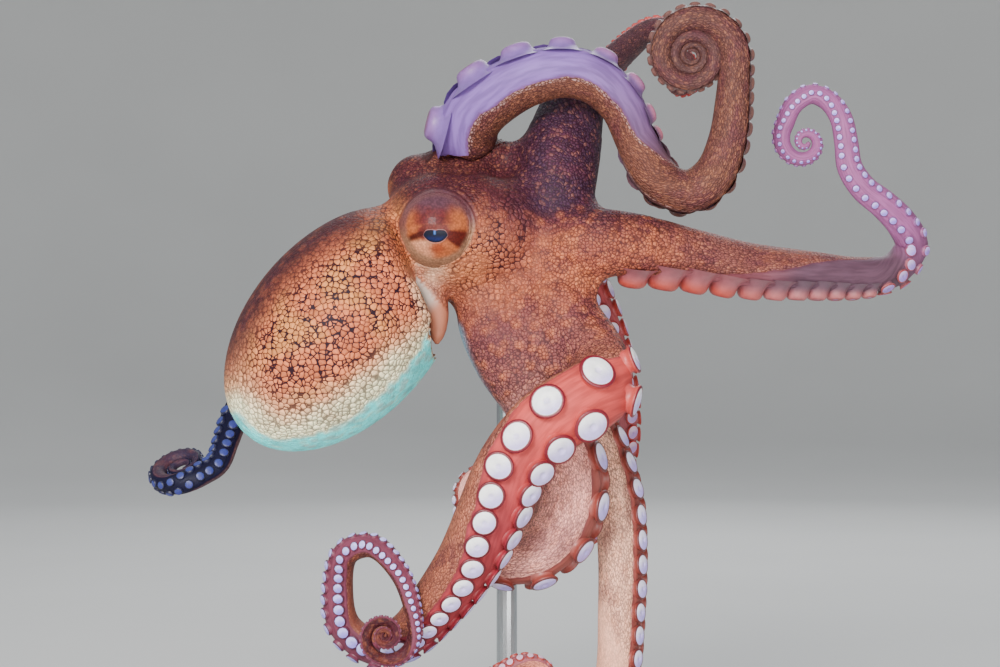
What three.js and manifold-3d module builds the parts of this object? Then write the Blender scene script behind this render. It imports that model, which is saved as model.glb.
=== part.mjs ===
// Common octopus on a display stand: a still, life-size model with its right side to the front.
// Millimetres, +Z up, the floor at Z = 0, the origin under the middle of the stand's base.
// Arms are named as on the animal: R1..R4 down its right side and L1..L4 down its left.

import * as THREE from 'three';
import { mergeVertices } from 'three/addons/utils/BufferGeometryUtils.js';
import Module from 'manifold-3d';

const wasm = await Module();
wasm.setup();

// ---------------------------------------------------------------- driving dimensions

const GAP = 0.3; // play between neighbouring parts

const MANTLE = { centre: [-85.5, -5, 303.5], axis: [-0.66, -0.1, -0.74], long: 79, wide: 54, deep: 51 };
const MANTLE_EDGE = { at: [-42.5, 0, 318], normal: [0.905, 0.05, 0.42] }; // plane of the free edge
const MANTLE_HOLLOW = { centre: [-43, 2, 318], radii: [24, 35, 29] };

const HEAD = { centre: [-24, 6, 353], axis: [0.86, 0.36, -0.36], long: 44, wide: 36, deep: 34 };
const BROW = { centre: [-12, -2, 357], axis: [1, 0.1, -0.15], long: 42, wide: 29, deep: 30 };
const EYE_RIGHT = { bulge: [-34, -14, 357], bulgeRadius: 24, look: [-0.04, -0.99, 0.03], ball: 21 };
const EYE_LEFT = { bulge: [-45, 25, 383], bulgeRadius: 19, look: [-0.25, 0.8, 0.5], ball: 17 };
const EYE_OUT = 1.6; // how far an eyeball stands out of its bulge

const CROWN = { centre: [20, 17, 340], axis: [0.86, 0.38, -0.36], long: 34, wide: 38, deep: 38 };
const MOUTH = { radius: 9, depth: 10 };

const FUNNEL = { root: [-42, -5, 334], tip: [-32, -16, 294], rootRadius: 10, tipRadius: 6, bore: 3 };

const BASE = { length: 260, width: 200, height: 14, corner: 24, bevel: 2 };
const ROD = { x: 4, y: 64, radius: 6, top: 346, foot: 20, footHeight: 8 };

const SUCKER = { across: 0.46, lean: 0.6, stand: 0.22, sink: 0.6, pitch: 0.72, flare: 0.88 };

// One entry for each arm. way: points its middle line runs through, from the crown outwards.
// coil: the tip's spiral, turning about the axis, its first radius, its tightening, how fast the
// arm thins in it, and which way its suckers face, as shares outwards and along the axis.
// girth: half the arm's width at lengths along it, the last one where the coil begins.
// oral: the side the suckers face, given at lengths along the arm.
// cuts: lengths where the arm is divided. suckers: lengths between which they are modelled.
const ARMS = {
  l2: {
    way: [[14, 26, 348], [1, 30, 372], [-12, 28, 392], [-20, 20, 408], [-15, 10, 422],
      [-2, 1, 432], [16, -6, 440], [36, -9, 443], [53, -9, 438], [66, -7, 426], [74, -3, 408],
      [81, 0, 393], [93, 3, 381], [106, 4, 379], [118, 3, 388], [125, 1, 406], [128, -1, 430],
      [129, -2, 449]],
    coil: { axis: [0, -1, 0.03], radius: 24, tighten: 0.1, turns: 2.7, thin: 1.4, face: [0.78, -0.6] },
    girth: [[0, 18.5], [88, 18.5], [146, 14.8], [180, 13.6], [202, 11.6], [228, 12], [258, 12],
      [300, 10.2], [325, 9]],
    oral: [[0, -0.1, 0.9, 0], [40, -0.5, 0.8, 0.1], [68, -0.9, 0.35, 0.1], [106, -0.5, 0.45, 0.8],
      [146, 0, 0.5, 0.87], [180, 0.7, 0.5, 0.55], [202, 0.75, 0.6, 0.3], [222, 0.3, 0.95, 0.1],
      [243, 0, 0.9, -0.45], [275, 0.65, 0.75, 0], [325, 0.75, 0.65, 0]],
    cuts: [56, 165, 290], suckers: [70, 200],
  },
  l1: {
    way: [[22, 12, 350], [30, 8, 374], [33, 16, 398], [39, 28, 420], [46, 52, 440], [46, 92, 440],
      [42, 132, 420], [42, 166, 412], [48, 184, 432], [62, 166, 460], [78, 124, 475], [94, 86, 481],
      [112, 62, 472]],
    coil: { axis: [0, 1, 0.1], radius: 19, tighten: 0.14, turns: 2, thin: 0.9, face: [1, 0] },
    girth: [[0, 20], [52, 22.5], [77, 19.5], [110, 17], [195, 14], [296, 10], [417, 5.5]],
    oral: [[0, 0.6, 0.6, 0], [50, 0.3, 0.95, 0], [110, 0.6, 0.4, 0], [150, 0.8, 0, -0.6],
      [230, 0.9, 0.1, -0.4], [300, 0.8, 0.5, 0.3], [380, 0.2, -0.3, 0.9], [417, 0, 0, 1]],
    cuts: [60, 190, 310], suckers: [110, 150],
  },
  r1: {
    way: [[24, 8, 345], [46, -8, 349], [72, -8, 348], [102, 0, 344], [136, 12, 338], [172, 28, 335],
      [206, 46, 333], [229, 59, 337], [239, 62, 351], [232, 54, 363], [220, 48, 374], [208, 45, 383],
      [200, 44, 395], [198, 44, 409], [195, 44, 423], [188, 44, 433], [178, 44, 437], [168, 44, 431],
      [162, 44, 418]],
    coil: { axis: [0, -1, 0], radius: 15, tighten: 0.2, turns: 1.6, thin: 0.65, face: [0.9, 0.4] },
    girth: [[0, 22], [54, 18.5], [86, 14.8], [122, 13.2], [162, 12.3], [200, 11.3], [238, 10],
      [290, 7.7], [330, 6.4], [390, 5.4]],
    oral: [[0, 0.6, 0.6, -0.5], [60, 0.2, 0.4, -0.9], [120, 0.1, 0.42, -0.9], [200, 0.1, 0.3, -1],
      [228, 0.5, -0.5, -0.7], [250, 0.75, -0.65, 0], [285, 0.6, -0.8, 0.1], [330, 0.4, -0.9, 0.1],
      [360, 0.3, -0.6, 0.7], [390, -0.8, -0.5, 0.2]],
    cuts: [54, 160, 262], suckers: [64, 190],
  },
  r2: {
    way: [[24, 8, 336], [29, -8, 319], [41, -15, 300], [53, -26, 285], [54, -42, 272], [42, -51, 264],
      [23, -52, 252], [5, -48, 229], [-6, -42, 204], [-17, -33, 180], [-33, -21, 156], [-51, -6, 135],
      [-70, 4, 127], [-86, 6, 138], [-89, 1, 159], [-84, -9, 180], [-69, -18, 185], [-53, -32, 171],
      [-46, -40, 152], [-45, -41, 144]],
    coil: { axis: [0, 1, 0], radius: 16.5, tighten: 0.15, turns: 2.8, thin: 0.55, face: [0.85, 0.5] },
    girth: [[0, 19], [24, 18.5], [114, 18.5], [169, 18], [197, 17.5], [225, 16.5], [256, 14.5],
      [287, 12], [310, 10], [352, 8], [398, 6], [424, 5], [450, 3.8]],
    oral: [[0, 0.6, 0.75, -0.2], [45, 0.5, 0.8, -0.2], [75, 0.9, -0.2, -0.3], [105, 0.3, -0.95, 0.1],
      [150, 0.3, -0.93, 0], [190, 0.52, -0.82, 0], [222, 0.66, -0.62, -0.3], [262, 0.52, -0.5, -0.65],
      [290, 0.1, -0.7, -0.7], [318, -0.5, -0.7, -0.5], [345, -0.5, -0.85, 0.1], [385, -0.1, -0.7, 0.65],
      [425, 0.6, -0.8, 0], [450, 0.9, -0.4, 0]],
    cuts: [62, 150, 262], suckers: [72, 285],
  },
  r3: {
    way: [[7, 14, 334], [-5, 3, 314], [2, -4, 289], [20, -7, 263], [32, -8, 242], [39.5, -8, 218],
      [35, -8, 196], [22, -6, 180], [6, 2, 175], [-7, 16, 178], [-16, 30, 188], [-20, 40, 204]],
    coil: { axis: [0, 1, 0], radius: 15, tighten: 0.1, turns: 2.4, thin: 0.9, face: [1, 0.1] },
    girth: [[0, 20], [55, 18.5], [87, 18.5], [116, 19.5], [140, 19.5], [165, 18.5], [190, 16.5],
      [215, 12.5], [240, 8.5], [260, 6.5]],
    oral: [[0, 0.8, 0.5, -0.3], [60, 0.85, 0.45, -0.2], [116, 1, 0.1, -0.1], [145, 1, 0, -0.15],
      [168, 0.75, 0, -0.65], [190, 0.2, -0.05, -1], [215, -0.5, 0, -0.85], [260, -1, 0, 0]],
    cuts: [66, 142, 222], suckers: [96, 200],
  },
  r4: {
    way: [[16, 26, 332], [14, 36, 314], [26, 40, 290], [43, 39, 262], [57, 34, 235], [66, 28, 207],
      [68, 20, 176], [67, 13, 145], [65, 8, 114], [58, 3, 87], [42, 0, 70], [22, -4, 64],
      [2, -9, 70], [-11, -13, 88], [-9, -14, 108], [6, -14, 119]],
    coil: { axis: [0, 1, 0], radius: 16, tighten: 0.13, turns: 2.3, thin: 0.9, face: [0.9, 0.3] },
    girth: [[0, 19], [62, 17], [112, 14.8], [174, 13.6], [237, 12.2], [290, 9.8], [333, 7.6],
      [395, 5]],
    oral: [[0, 0.8, 0.4, -0.4], [60, 0.85, 0.3, 0.1], [140, 0.97, -0.1, -0.1], [240, 0.97, -0.1, -0.1],
      [290, 0.4, -0.3, -0.8], [330, -0.4, -0.3, -0.9], [365, -0.9, -0.3, 0], [395, -0.3, -0.3, 0.9]],
    cuts: [62, 168, 284], suckers: [130, 205],
  },
  l4: {
    way: [[12, 30, 338], [4, 52, 342], [-22, 84, 340], [-58, 108, 326], [-98, 110, 301],
      [-134, 92, 277], [-153, 72, 255], [-158, 57, 238], [-162, 46, 225], [-171, 41, 219]],
    coil: { axis: [0.05, 0.36, -0.93], radius: 19, tighten: 0.13, turns: 2.1, thin: 0.9, face: [1, 0.2] },
    girth: [[0, 17.5], [110, 14], [205, 9.8], [262, 7.4], [296, 6.5]],
    oral: [[0, 0.7, 0.3, -0.5], [60, 0.2, 0.4, -0.9], [180, 0.1, 0.1, -1], [225, 0.2, -0.9, -0.4],
      [260, -0.3, -0.8, 0.4]],
    cuts: [60, 150, 226], suckers: [120, 148],
  },
  l3: {
    way: [[16, 32, 344], [22, 54, 350], [34, 84, 346], [50, 108, 326], [64, 122, 298], [73, 134, 266],
      [76, 144, 234], [71, 150, 205], [60, 152, 180], [42, 152, 167]],
    coil: { axis: [0, 1, 0], radius: 20, tighten: 0.11, turns: 2.4, thin: 0.9, face: [1, 0] },
    girth: [[0, 18], [60, 15.5], [140, 12.5], [224, 9], [278, 7]],
    oral: [[0, 0.8, 0.1, -0.5], [60, 0.75, 0, -0.6], [130, 0.9, -0.3, -0.3], [200, 0.9, -0.3, -0.3],
      [250, 0.3, -0.3, -0.9]],
    cuts: [60, 140, 224], suckers: [110, 135],
  },
};

// Arms in the order they stand round the mouth.
const RING = ['l1', 'r1', 'r2', 'r3', 'r4', 'l4', 'l3', 'l2'];
// The webs, each named by its first arm. reach: how far out it runs along that arm. skew: how much
// farther it runs along the next arm. thick: half its thickness at the root and at the rim.
const WEBS = {
  l1: { reach: 46, skew: 1, thick: [15, 6] },
  r1: { reach: 42, skew: 1, thick: [16, 8] },
  r2: { reach: 72, skew: 1.18, thick: [18, 13] },
  r3: { reach: 50, skew: 1, thick: [15, 5] },
  r4: { reach: 44, skew: 1, thick: [15, 5] },
  l4: { reach: 42, skew: 1, thick: [15, 5] },
  l3: { reach: 42, skew: 1, thick: [15, 5] },
  l2: { reach: 52, skew: 1, thick: [16, 5] },
};

const SIDES = 7; // sides of an arm's section
const TIP_SIDES = 6; // the same in its last length
const RING_STEP = 1.6; // length of tube between rings, in arm radii
const FINEST_RING = 6.3; // least length between rings
const FACE_TURN = 1.4; // radians of a coil over which its suckers come to face their way

// ---------------------------------------------------------------- materials

function finish(name, colour, roughness, metalness) {
  const material = new THREE.MeshStandardMaterial({ color: colour, roughness, metalness });
  material.name = name;
  return material;
}

const FINISH = {
  mantle: finish('mantle_skin', 0xc08058, 0.5, 0),
  head: finish('head_skin', 0x96604a, 0.5, 0),
  arm: finish('arm_skin', 0xb0705a, 0.5, 0),
  funnel: finish('funnel_skin', 0xc0988a, 0.45, 0),
  eye: finish('eye', 0x3a2a1c, 0.12, 0),
  base: finish('stand_paint', 0x2a2c30, 0.45, 0),
  rod: finish('stand_steel', 0xb8bcc0, 0.3, 1),
};

// ---------------------------------------------------------------- vectors and solids

function vec(a) {
  return new THREE.Vector3(a[0], a[1], a[2]);
}

function mix(a, b, t) {
  return a + (b - a) * t;
}

function smooth(t) {
  const c = Math.min(1, Math.max(0, t));
  return c * c * (3 - 2 * c);
}

// An indexed, welded copy of a geometry, as a manifold solid.
function solid(geometry) {
  const bare = geometry.clone();
  bare.deleteAttribute('normal');
  bare.deleteAttribute('uv');
  const welded = mergeVertices(bare, 1e-4);
  const mesh = new wasm.Mesh({
    numProp: 3,
    vertProperties: new Float32Array(welded.attributes.position.array),
    triVerts: new Uint32Array(welded.index.array),
  });
  return new wasm.Manifold(mesh);
}

function meshOf(body, name, material) {
  const raw = body.getMesh();
  const geometry = new THREE.BufferGeometry();
  geometry.setAttribute('position', new THREE.BufferAttribute(raw.vertProperties, 3));
  geometry.setIndex(new THREE.BufferAttribute(raw.triVerts, 1));
  geometry.computeVertexNormals();
  const mesh = new THREE.Mesh(geometry, material);
  mesh.name = name;
  return mesh;
}

// Turns a Y-up geometry so that its Y axis lies along dir and moves it to a point.
function aim(geometry, dir, at) {
  const turn = new THREE.Quaternion().setFromUnitVectors(new THREE.Vector3(0, 1, 0), dir);
  geometry.applyQuaternion(turn);
  geometry.translate(at.x, at.y, at.z);
  return geometry;
}

// An egg-shaped body, long along its axis.
function ellipsoid(spec, grow, across = 20, along = 14) {
  const geometry = new THREE.SphereGeometry(1, across, along);
  geometry.scale(spec.wide + grow, spec.long + grow, spec.deep + grow);
  return solid(aim(geometry, vec(spec.axis).normalize(), vec(spec.centre)));
}

function ball(centre, radius, across = 11, along = 7) {
  const geometry = new THREE.SphereGeometry(radius, across, along);
  geometry.translate(centre.x, centre.y, centre.z);
  return solid(geometry);
}

// A closed tube through a row of stations {at, wide, thick, right, up}.
function tube(stations, sides) {
  const rows = stations.length - 1;
  const geometry = new THREE.CylinderGeometry(1, 1, 1, sides, rows, false);
  const position = geometry.attributes.position;
  const point = new THREE.Vector3();
  for (let i = 0; i < position.count; i++) {
    point.fromBufferAttribute(position, i);
    const station = stations[Math.round((point.y + 0.5) * rows)];
    const side = point.x;
    const up = point.z;
    const out = station.at.clone();
    out.addScaledVector(station.right, side * station.wide);
    out.addScaledVector(station.up, up * station.thick);
    position.setXYZ(i, out.x, out.y, out.z);
  }
  return solid(geometry);
}

// ---------------------------------------------------------------- arms

// The whole middle line of an arm, as fine steps {at, along, oral, side, radius, s}.
function traceArm(spec) {
  const curve = new THREE.CatmullRomCurve3(spec.way.map(vec), false, 'centripetal');
  curve.arcLengthDivisions = 600;
  const straight = curve.getLength();
  const steps = [];
  const count = Math.round(straight / 2);
  for (let i = 0; i <= count; i++) {
    const u = i / count;
    const at = curve.getPointAt(u);
    const radius = girthAt(spec.girth, u * straight);
    steps.push({ at, along: curve.getTangentAt(u), s: u * straight, radius });
  }
  addCoil(steps, spec, straight);
  steps.forEach((step) => {
    const hint = oralAt(spec.oral, step.s);
    if (step.face) {
      hint.lerp(step.face, smooth(step.turned / FACE_TURN));
    }
    hint.addScaledVector(step.along, -hint.dot(step.along)).normalize();
    step.oral = hint;
    step.side = new THREE.Vector3().crossVectors(step.along, hint).normalize();
  });
  return steps;
}

// The tip's logarithmic spiral; the arm thins in step with it.
function addCoil(steps, spec, straight) {
  const last = steps[steps.length - 1];
  const k = spec.coil.tighten;
  const axis = vec(spec.coil.axis);
  axis.addScaledVector(last.along, -axis.dot(last.along)).normalize();
  const inward = new THREE.Vector3().crossVectors(axis, last.along);
  const outward = inward.clone().addScaledVector(last.along, k).normalize().negate();
  const forward = new THREE.Vector3().crossVectors(axis, outward);
  const centre = last.at.clone().addScaledVector(outward, -spec.coil.radius);
  const sweep = spec.coil.turns * Math.PI * 2;
  const stretch = Math.sqrt(1 + k * k);
  const count = Math.round(sweep / 0.12);
  for (let i = 1; i <= count; i++) {
    const angle = sweep * i / count;
    const reach = spec.coil.radius * Math.exp(-k * angle);
    const radial = outward.clone().multiplyScalar(Math.cos(angle));
    radial.addScaledVector(forward, Math.sin(angle));
    const across = new THREE.Vector3().crossVectors(axis, radial);
    const share = reach / spec.coil.radius;
    const face = radial.clone().multiplyScalar(spec.coil.face[0]);
    steps.push({
      at: centre.clone().addScaledVector(radial, reach),
      along: across.addScaledVector(radial, -k).normalize(),
      s: straight + spec.coil.radius * stretch / k * (1 - share),
      radius: last.radius * Math.pow(share, spec.coil.thin),
      face: face.addScaledVector(axis, spec.coil.face[1]),
      turned: angle,
    });
  }
}

// Half the arm's width at a length along it.
function girthAt(girth, s) {
  let i = 0;
  while (i < girth.length - 2 && s > girth[i + 1][0]) {
    i++;
  }
  const t = (s - girth[i][0]) / (girth[i + 1][0] - girth[i][0]);
  return mix(girth[i][1], girth[i + 1][1], smooth(t));
}

// The side the suckers face at a length along the arm.
function oralAt(hints, s) {
  let i = 0;
  while (i < hints.length - 2 && s > hints[i + 1][0]) {
    i++;
  }
  const from = hints[i];
  const to = hints[i + 1];
  const t = smooth((s - from[0]) / (to[0] - from[0]));
  return vec(from.slice(1)).normalize().lerp(vec(to.slice(1)).normalize(), t);
}

function stepAt(steps, s) {
  let i = 0;
  while (i < steps.length - 2 && steps[i + 1].s < s) {
    i++;
  }
  const a = steps[i];
  const b = steps[i + 1];
  const t = Math.min(1, Math.max(0, (s - a.s) / (b.s - a.s)));
  return {
    s,
    at: a.at.clone().lerp(b.at, t),
    along: a.along.clone().lerp(b.along, t).normalize(),
    oral: a.oral.clone().lerp(b.oral, t).normalize(),
    side: a.side.clone().lerp(b.side, t).normalize(),
    radius: mix(a.radius, b.radius, t),
  };
}

// A length of arm from one s to another, with the rings closer together as it thins.
function armLength(steps, from, to, grow = 0, sides = SIDES) {
  const marks = [from];
  let s = from;
  while (s < to) {
    const step = stepAt(steps, s);
    s += Math.max(FINEST_RING, step.radius * RING_STEP);
    marks.push(Math.min(s, to));
  }
  const trims = marks.map(() => 0);
  trims[0] = GAP / 2 - grow;
  trims[marks.length - 1] = grow - GAP / 2;
  const stations = marks.map((mark, i) => {
    const step = stepAt(steps, mark);
    const trim = trims[i];
    return {
      at: step.at.addScaledVector(step.along, trim),
      wide: step.radius + grow,
      thick: step.radius * 0.92 + grow,
      right: step.side,
      up: step.oral,
    };
  });
  return tube(stations, sides);
}

// A sucker: a short flared cup, leaning out from the oral face to its own side.
function sucker(step, row) {
  const radius = Math.max(1.2, step.radius * SUCKER.across);
  const lean = step.oral.clone().multiplyScalar(Math.cos(SUCKER.lean));
  lean.addScaledVector(step.side, row * Math.sin(SUCKER.lean)).normalize();
  const height = radius * (SUCKER.stand + SUCKER.sink) * 2;
  const cup = new THREE.CylinderGeometry(radius, radius * SUCKER.flare, height, 6, 1, false);
  const surface = step.radius * 0.9;
  const at = step.at.clone().addScaledVector(lean, surface + radius * (SUCKER.stand - SUCKER.sink));
  return solid(aim(cup, lean, at));
}

function suckersBetween(steps, spec, from, to) {
  const cups = [];
  let s = spec.suckers[0];
  let row = 1;
  while (s < spec.suckers[1]) {
    const step = stepAt(steps, s);
    const reach = step.radius * SUCKER.across * 1.4 + 1.2;
    if (s - reach > from && s + reach < to) {
      cups.push(sucker(step, row));
    }
    s += step.radius * SUCKER.pitch;
    row = -row;
  }
  return cups;
}

// ---------------------------------------------------------------- crown and webs

const TRACES = {};
RING.forEach((name) => {
  TRACES[name] = traceArm(ARMS[name]);
});

// The sheet of skin between two neighbouring arms.
const WEB_START = 6; // length along the arms at which the webs begin

function web(first, second, grow) {
  const { reach, skew, thick } = WEBS[first];
  const stations = [];
  const rows = 4;
  for (let i = 0; i <= rows; i++) {
    const a = stepAt(TRACES[first], mix(WEB_START - grow, reach + grow, i / rows));
    const b = stepAt(TRACES[second], mix(WEB_START - grow, reach * skew + grow, i / rows));
    const right = b.at.clone().sub(a.at);
    const wide = right.length() / 2;
    right.normalize();
    const along = a.along.clone().add(b.along);
    along.addScaledVector(right, -along.dot(right)).normalize();
    const up = new THREE.Vector3().crossVectors(right, along).normalize();
    stations.push({
      at: a.at.clone().lerp(b.at, 0.5),
      wide: wide + grow,
      thick: mix(thick[0], thick[1], i / rows) + grow,
      right,
      up,
    });
  }
  return tube(stations, 6);
}

function crownBody(grow) {
  let body = ellipsoid(CROWN, grow, 14, 9);
  RING.forEach((name, i) => {
    const stub = armLength(TRACES[name], 4, ARMS[name].cuts[0], grow);
    body = body.add(stub);
    body = body.add(web(name, RING[(i + 1) % RING.length], grow));
  });
  return body;
}

function mouthPit() {
  const axis = vec(CROWN.axis).normalize();
  const at = vec(CROWN.centre).addScaledVector(axis, CROWN.long - MOUTH.depth / 2 + 6);
  const pit = new THREE.CylinderGeometry(MOUTH.radius, MOUTH.radius * 0.5, MOUTH.depth + 12, 10, 1);
  return solid(aim(pit, axis, at));
}

// ---------------------------------------------------------------- head, mantle, funnel

function eyeCentre(eye) {
  const look = vec(eye.look).normalize();
  return vec(eye.bulge).addScaledVector(look, eye.bulgeRadius + EYE_OUT - eye.ball);
}

function headBody(grow) {
  return ellipsoid(HEAD, grow, 13, 8)
    .add(ellipsoid(BROW, grow, 12, 8))
    .add(ball(vec(EYE_RIGHT.bulge), EYE_RIGHT.bulgeRadius + grow))
    .add(ball(vec(EYE_LEFT.bulge), EYE_LEFT.bulgeRadius + grow));
}

function funnelBody(grow) {
  const rows = 5;
  const root = vec(FUNNEL.root);
  const tip = vec(FUNNEL.tip);
  const along = tip.clone().sub(root).normalize();
  const right = new THREE.Vector3(0, 1, 0).cross(along).normalize();
  const up = new THREE.Vector3().crossVectors(right, along);
  const stations = [];
  for (let i = 0; i <= rows; i++) {
    const t = i / rows;
    const radius = mix(FUNNEL.rootRadius, FUNNEL.tipRadius, smooth(t)) + grow;
    stations.push({ at: root.clone().lerp(tip, t), wide: radius, thick: radius, right, up });
  }
  return tube(stations, 10);
}

function funnelBore() {
  const along = vec(FUNNEL.tip).sub(vec(FUNNEL.root)).normalize();
  const bore = new THREE.CylinderGeometry(FUNNEL.bore, FUNNEL.bore * 0.7, 16, 8, 1);
  return solid(aim(bore, along, vec(FUNNEL.tip)));
}

// Everything on the head's side of the mantle's free edge.
function beyondEdge() {
  const size = 160;
  const box = new THREE.BoxGeometry(size, size, size);
  const normal = vec(MANTLE_EDGE.normal).normalize();
  const at = vec(MANTLE_EDGE.at).addScaledVector(normal, size / 2);
  return solid(aim(box, normal, at));
}

function hollowBody() {
  const geometry = new THREE.SphereGeometry(1, 10, 7);
  geometry.scale(...MANTLE_HOLLOW.radii);
  geometry.translate(...MANTLE_HOLLOW.centre);
  return solid(geometry);
}

// ---------------------------------------------------------------- stand

function rodBody(grow) {
  const rod = new THREE.CylinderGeometry(ROD.radius + grow, ROD.radius + grow, 1, 16, 1);
  const from = BASE.height + GAP - grow;
  const top = ROD.top + grow;
  rod.scale(1, top - from, 1);
  rod.rotateX(Math.PI / 2);
  rod.translate(ROD.x, ROD.y, (top + from) / 2);
  return solid(rod);
}

function rodFoot() {
  const foot = new THREE.CylinderGeometry(ROD.foot * 0.7, ROD.foot, ROD.footHeight, 16, 1);
  foot.rotateX(Math.PI / 2);
  foot.translate(ROD.x, ROD.y, BASE.height + GAP + ROD.footHeight / 2);
  return solid(foot);
}

function baseBody() {
  const x = BASE.length / 2 - BASE.bevel;
  const y = BASE.width / 2 - BASE.bevel;
  const c = BASE.corner;
  const outline = new THREE.Shape();
  outline.moveTo(-x + c, -y);
  outline.lineTo(x - c, -y);
  outline.absarc(x - c, -y + c, c, -Math.PI / 2, 0, false);
  outline.absarc(x - c, y - c, c, 0, Math.PI / 2, false);
  outline.absarc(-x + c, y - c, c, Math.PI / 2, Math.PI, false);
  outline.absarc(-x + c, -y + c, c, Math.PI, Math.PI * 1.5, false);
  const slab = new THREE.ExtrudeGeometry(outline, {
    depth: BASE.height - BASE.bevel * 2,
    bevelThickness: BASE.bevel,
    bevelSize: BASE.bevel,
    bevelSegments: 1,
    curveSegments: 4,
  });
  slab.translate(0, 0, BASE.bevel);
  return solid(slab);
}

// ---------------------------------------------------------------- assembly

const octopus = new THREE.Group();
octopus.name = 'octopus';

function place(body, name, material) {
  octopus.add(meshOf(body, name, material));
}

const crownGrown = crownBody(GAP);
const headGrown = headBody(GAP);
const rodGrown = rodBody(GAP);

place(crownBody(0).subtract(mouthPit()).subtract(rodGrown), 'crown', FINISH.arm);

const rightSocket = ball(eyeCentre(EYE_RIGHT), EYE_RIGHT.ball + GAP);
const leftSocket = ball(eyeCentre(EYE_LEFT), EYE_LEFT.ball + GAP);
const head = headBody(0).subtract(crownGrown).subtract(rightSocket).subtract(leftSocket);
place(head, 'head', FINISH.head);
place(ball(eyeCentre(EYE_RIGHT), EYE_RIGHT.ball), 'eye_right', FINISH.eye);
place(ball(eyeCentre(EYE_LEFT), EYE_LEFT.ball), 'eye_left', FINISH.eye);

const funnel = funnelBody(0).subtract(funnelBore()).subtract(headGrown).subtract(crownGrown);
place(funnel, 'funnel', FINISH.funnel);

const mantle = ellipsoid(MANTLE, 0, 20, 14)
  .subtract(beyondEdge())
  .subtract(hollowBody())
  .subtract(funnelBody(GAP))
  .subtract(headGrown)
  .subtract(crownGrown)
  .subtract(rightSocket);
place(mantle, 'mantle', FINISH.mantle);

const LENGTHS = ['base', 'middle', 'tip'];
Object.keys(ARMS).forEach((name) => {
  const spec = ARMS[name];
  const steps = TRACES[name];
  const end = steps[steps.length - 1].s;
  const marks = [...spec.cuts, end];
  LENGTHS.forEach((length, i) => {
    let body = armLength(steps, marks[i], marks[i + 1], 0, length === 'tip' ? TIP_SIDES : SIDES);
    suckersBetween(steps, spec, marks[i], marks[i + 1]).forEach((cup) => {
      body = body.add(cup);
    });
    if (i === 0) {
      body = body.subtract(crownGrown).subtract(headGrown);
    }
    place(body, `arm_${name}_${length}`, FINISH.arm);
  });
});

place(baseBody(), 'stand_base', FINISH.base);
place(rodBody(0).add(rodFoot()), 'stand_rod', FINISH.rod);

export default octopus;
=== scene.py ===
"""Common octopus on a display stand: the dressed model over its solid frame.

Lengths in the size classes are millimetres, and meshes are made in metres.
Arms are named as on the animal: R1..R4 down its right side, L1..L4 down its left.
"""

from __future__ import annotations

import logging
import math
from dataclasses import dataclass
from enum import Enum

import bmesh
import bpy
import numpy as np
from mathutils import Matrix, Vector, kdtree, noise

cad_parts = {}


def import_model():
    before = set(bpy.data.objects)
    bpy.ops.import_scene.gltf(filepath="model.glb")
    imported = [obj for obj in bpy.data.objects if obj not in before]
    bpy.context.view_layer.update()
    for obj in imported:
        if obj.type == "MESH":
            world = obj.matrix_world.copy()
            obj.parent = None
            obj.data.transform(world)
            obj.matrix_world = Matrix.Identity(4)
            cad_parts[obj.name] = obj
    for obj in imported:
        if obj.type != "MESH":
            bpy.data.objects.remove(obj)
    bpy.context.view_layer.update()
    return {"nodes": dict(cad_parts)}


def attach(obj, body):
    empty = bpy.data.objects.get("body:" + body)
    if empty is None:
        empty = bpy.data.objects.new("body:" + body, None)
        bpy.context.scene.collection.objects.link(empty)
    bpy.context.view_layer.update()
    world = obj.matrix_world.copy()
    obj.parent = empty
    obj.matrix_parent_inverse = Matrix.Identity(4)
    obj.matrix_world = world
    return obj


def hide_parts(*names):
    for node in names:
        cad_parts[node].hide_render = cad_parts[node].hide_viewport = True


MM = 0.001
LOG = logging.getLogger("octopus")

Array = np.ndarray
Colour = tuple[float, ...]
Triple = tuple[float, float, float]
Keys = tuple[tuple[float, ...], ...]
Faces = list[tuple[int, ...]]
Mould = tuple[np.ndarray, list[tuple[int, ...]], np.ndarray]
Piece = bpy.types.Object
Material = bpy.types.Material
Socket = bpy.types.NodeSocket
Node = bpy.types.Node
Tree = bpy.types.NodeTree
BMesh = bmesh.types.BMesh
Edges = list[bmesh.types.BMEdge]

GREY_WEIGHTS = (0.25, 0.65, 0.1)
DARKEST, BRIGHTEST = 0.002, 0.98


# ---------- small tools


def linear(red: int, green: int, blue: int) -> Colour:
    """A display colour as scene-linear RGBA.

    Args:
        red: Red, 0 to 255.
        green: Green.
        blue: Blue.

    Returns:
        The colour with alpha 1.
    """
    out = []
    for value in (red, green, blue):
        c = value / 255.0
        out.append(c / 12.92 if c <= 0.04045 else ((c + 0.055) / 1.055) ** 2.4)
    return (*out, 1.0)


def unit(v: Array) -> Array:
    """Vectors at length 1, along the last axis."""
    v = np.asarray(v, dtype=float)
    return v / np.maximum(np.linalg.norm(v, axis=-1, keepdims=True), 1e-12)


def split_offset(offset: Array, along: Array) -> tuple[float, float]:
    """How far an offset goes along a unit direction, and how far beside it."""
    run = float(offset @ along)
    return run, float(np.linalg.norm(offset - along * run))


def ease(low: float, high: float, x: Array) -> Array:
    """A smooth step from 0 at low to 1 at high.

    Args:
        low: Where the step starts.
        high: Where it ends.
        x: The values.

    Returns:
        The steps, between 0 and 1.
    """
    t = np.clip((np.asarray(x, dtype=float) - low) / (high - low), 0.0, 1.0)
    return t * t * (3.0 - 2.0 * t)


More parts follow.
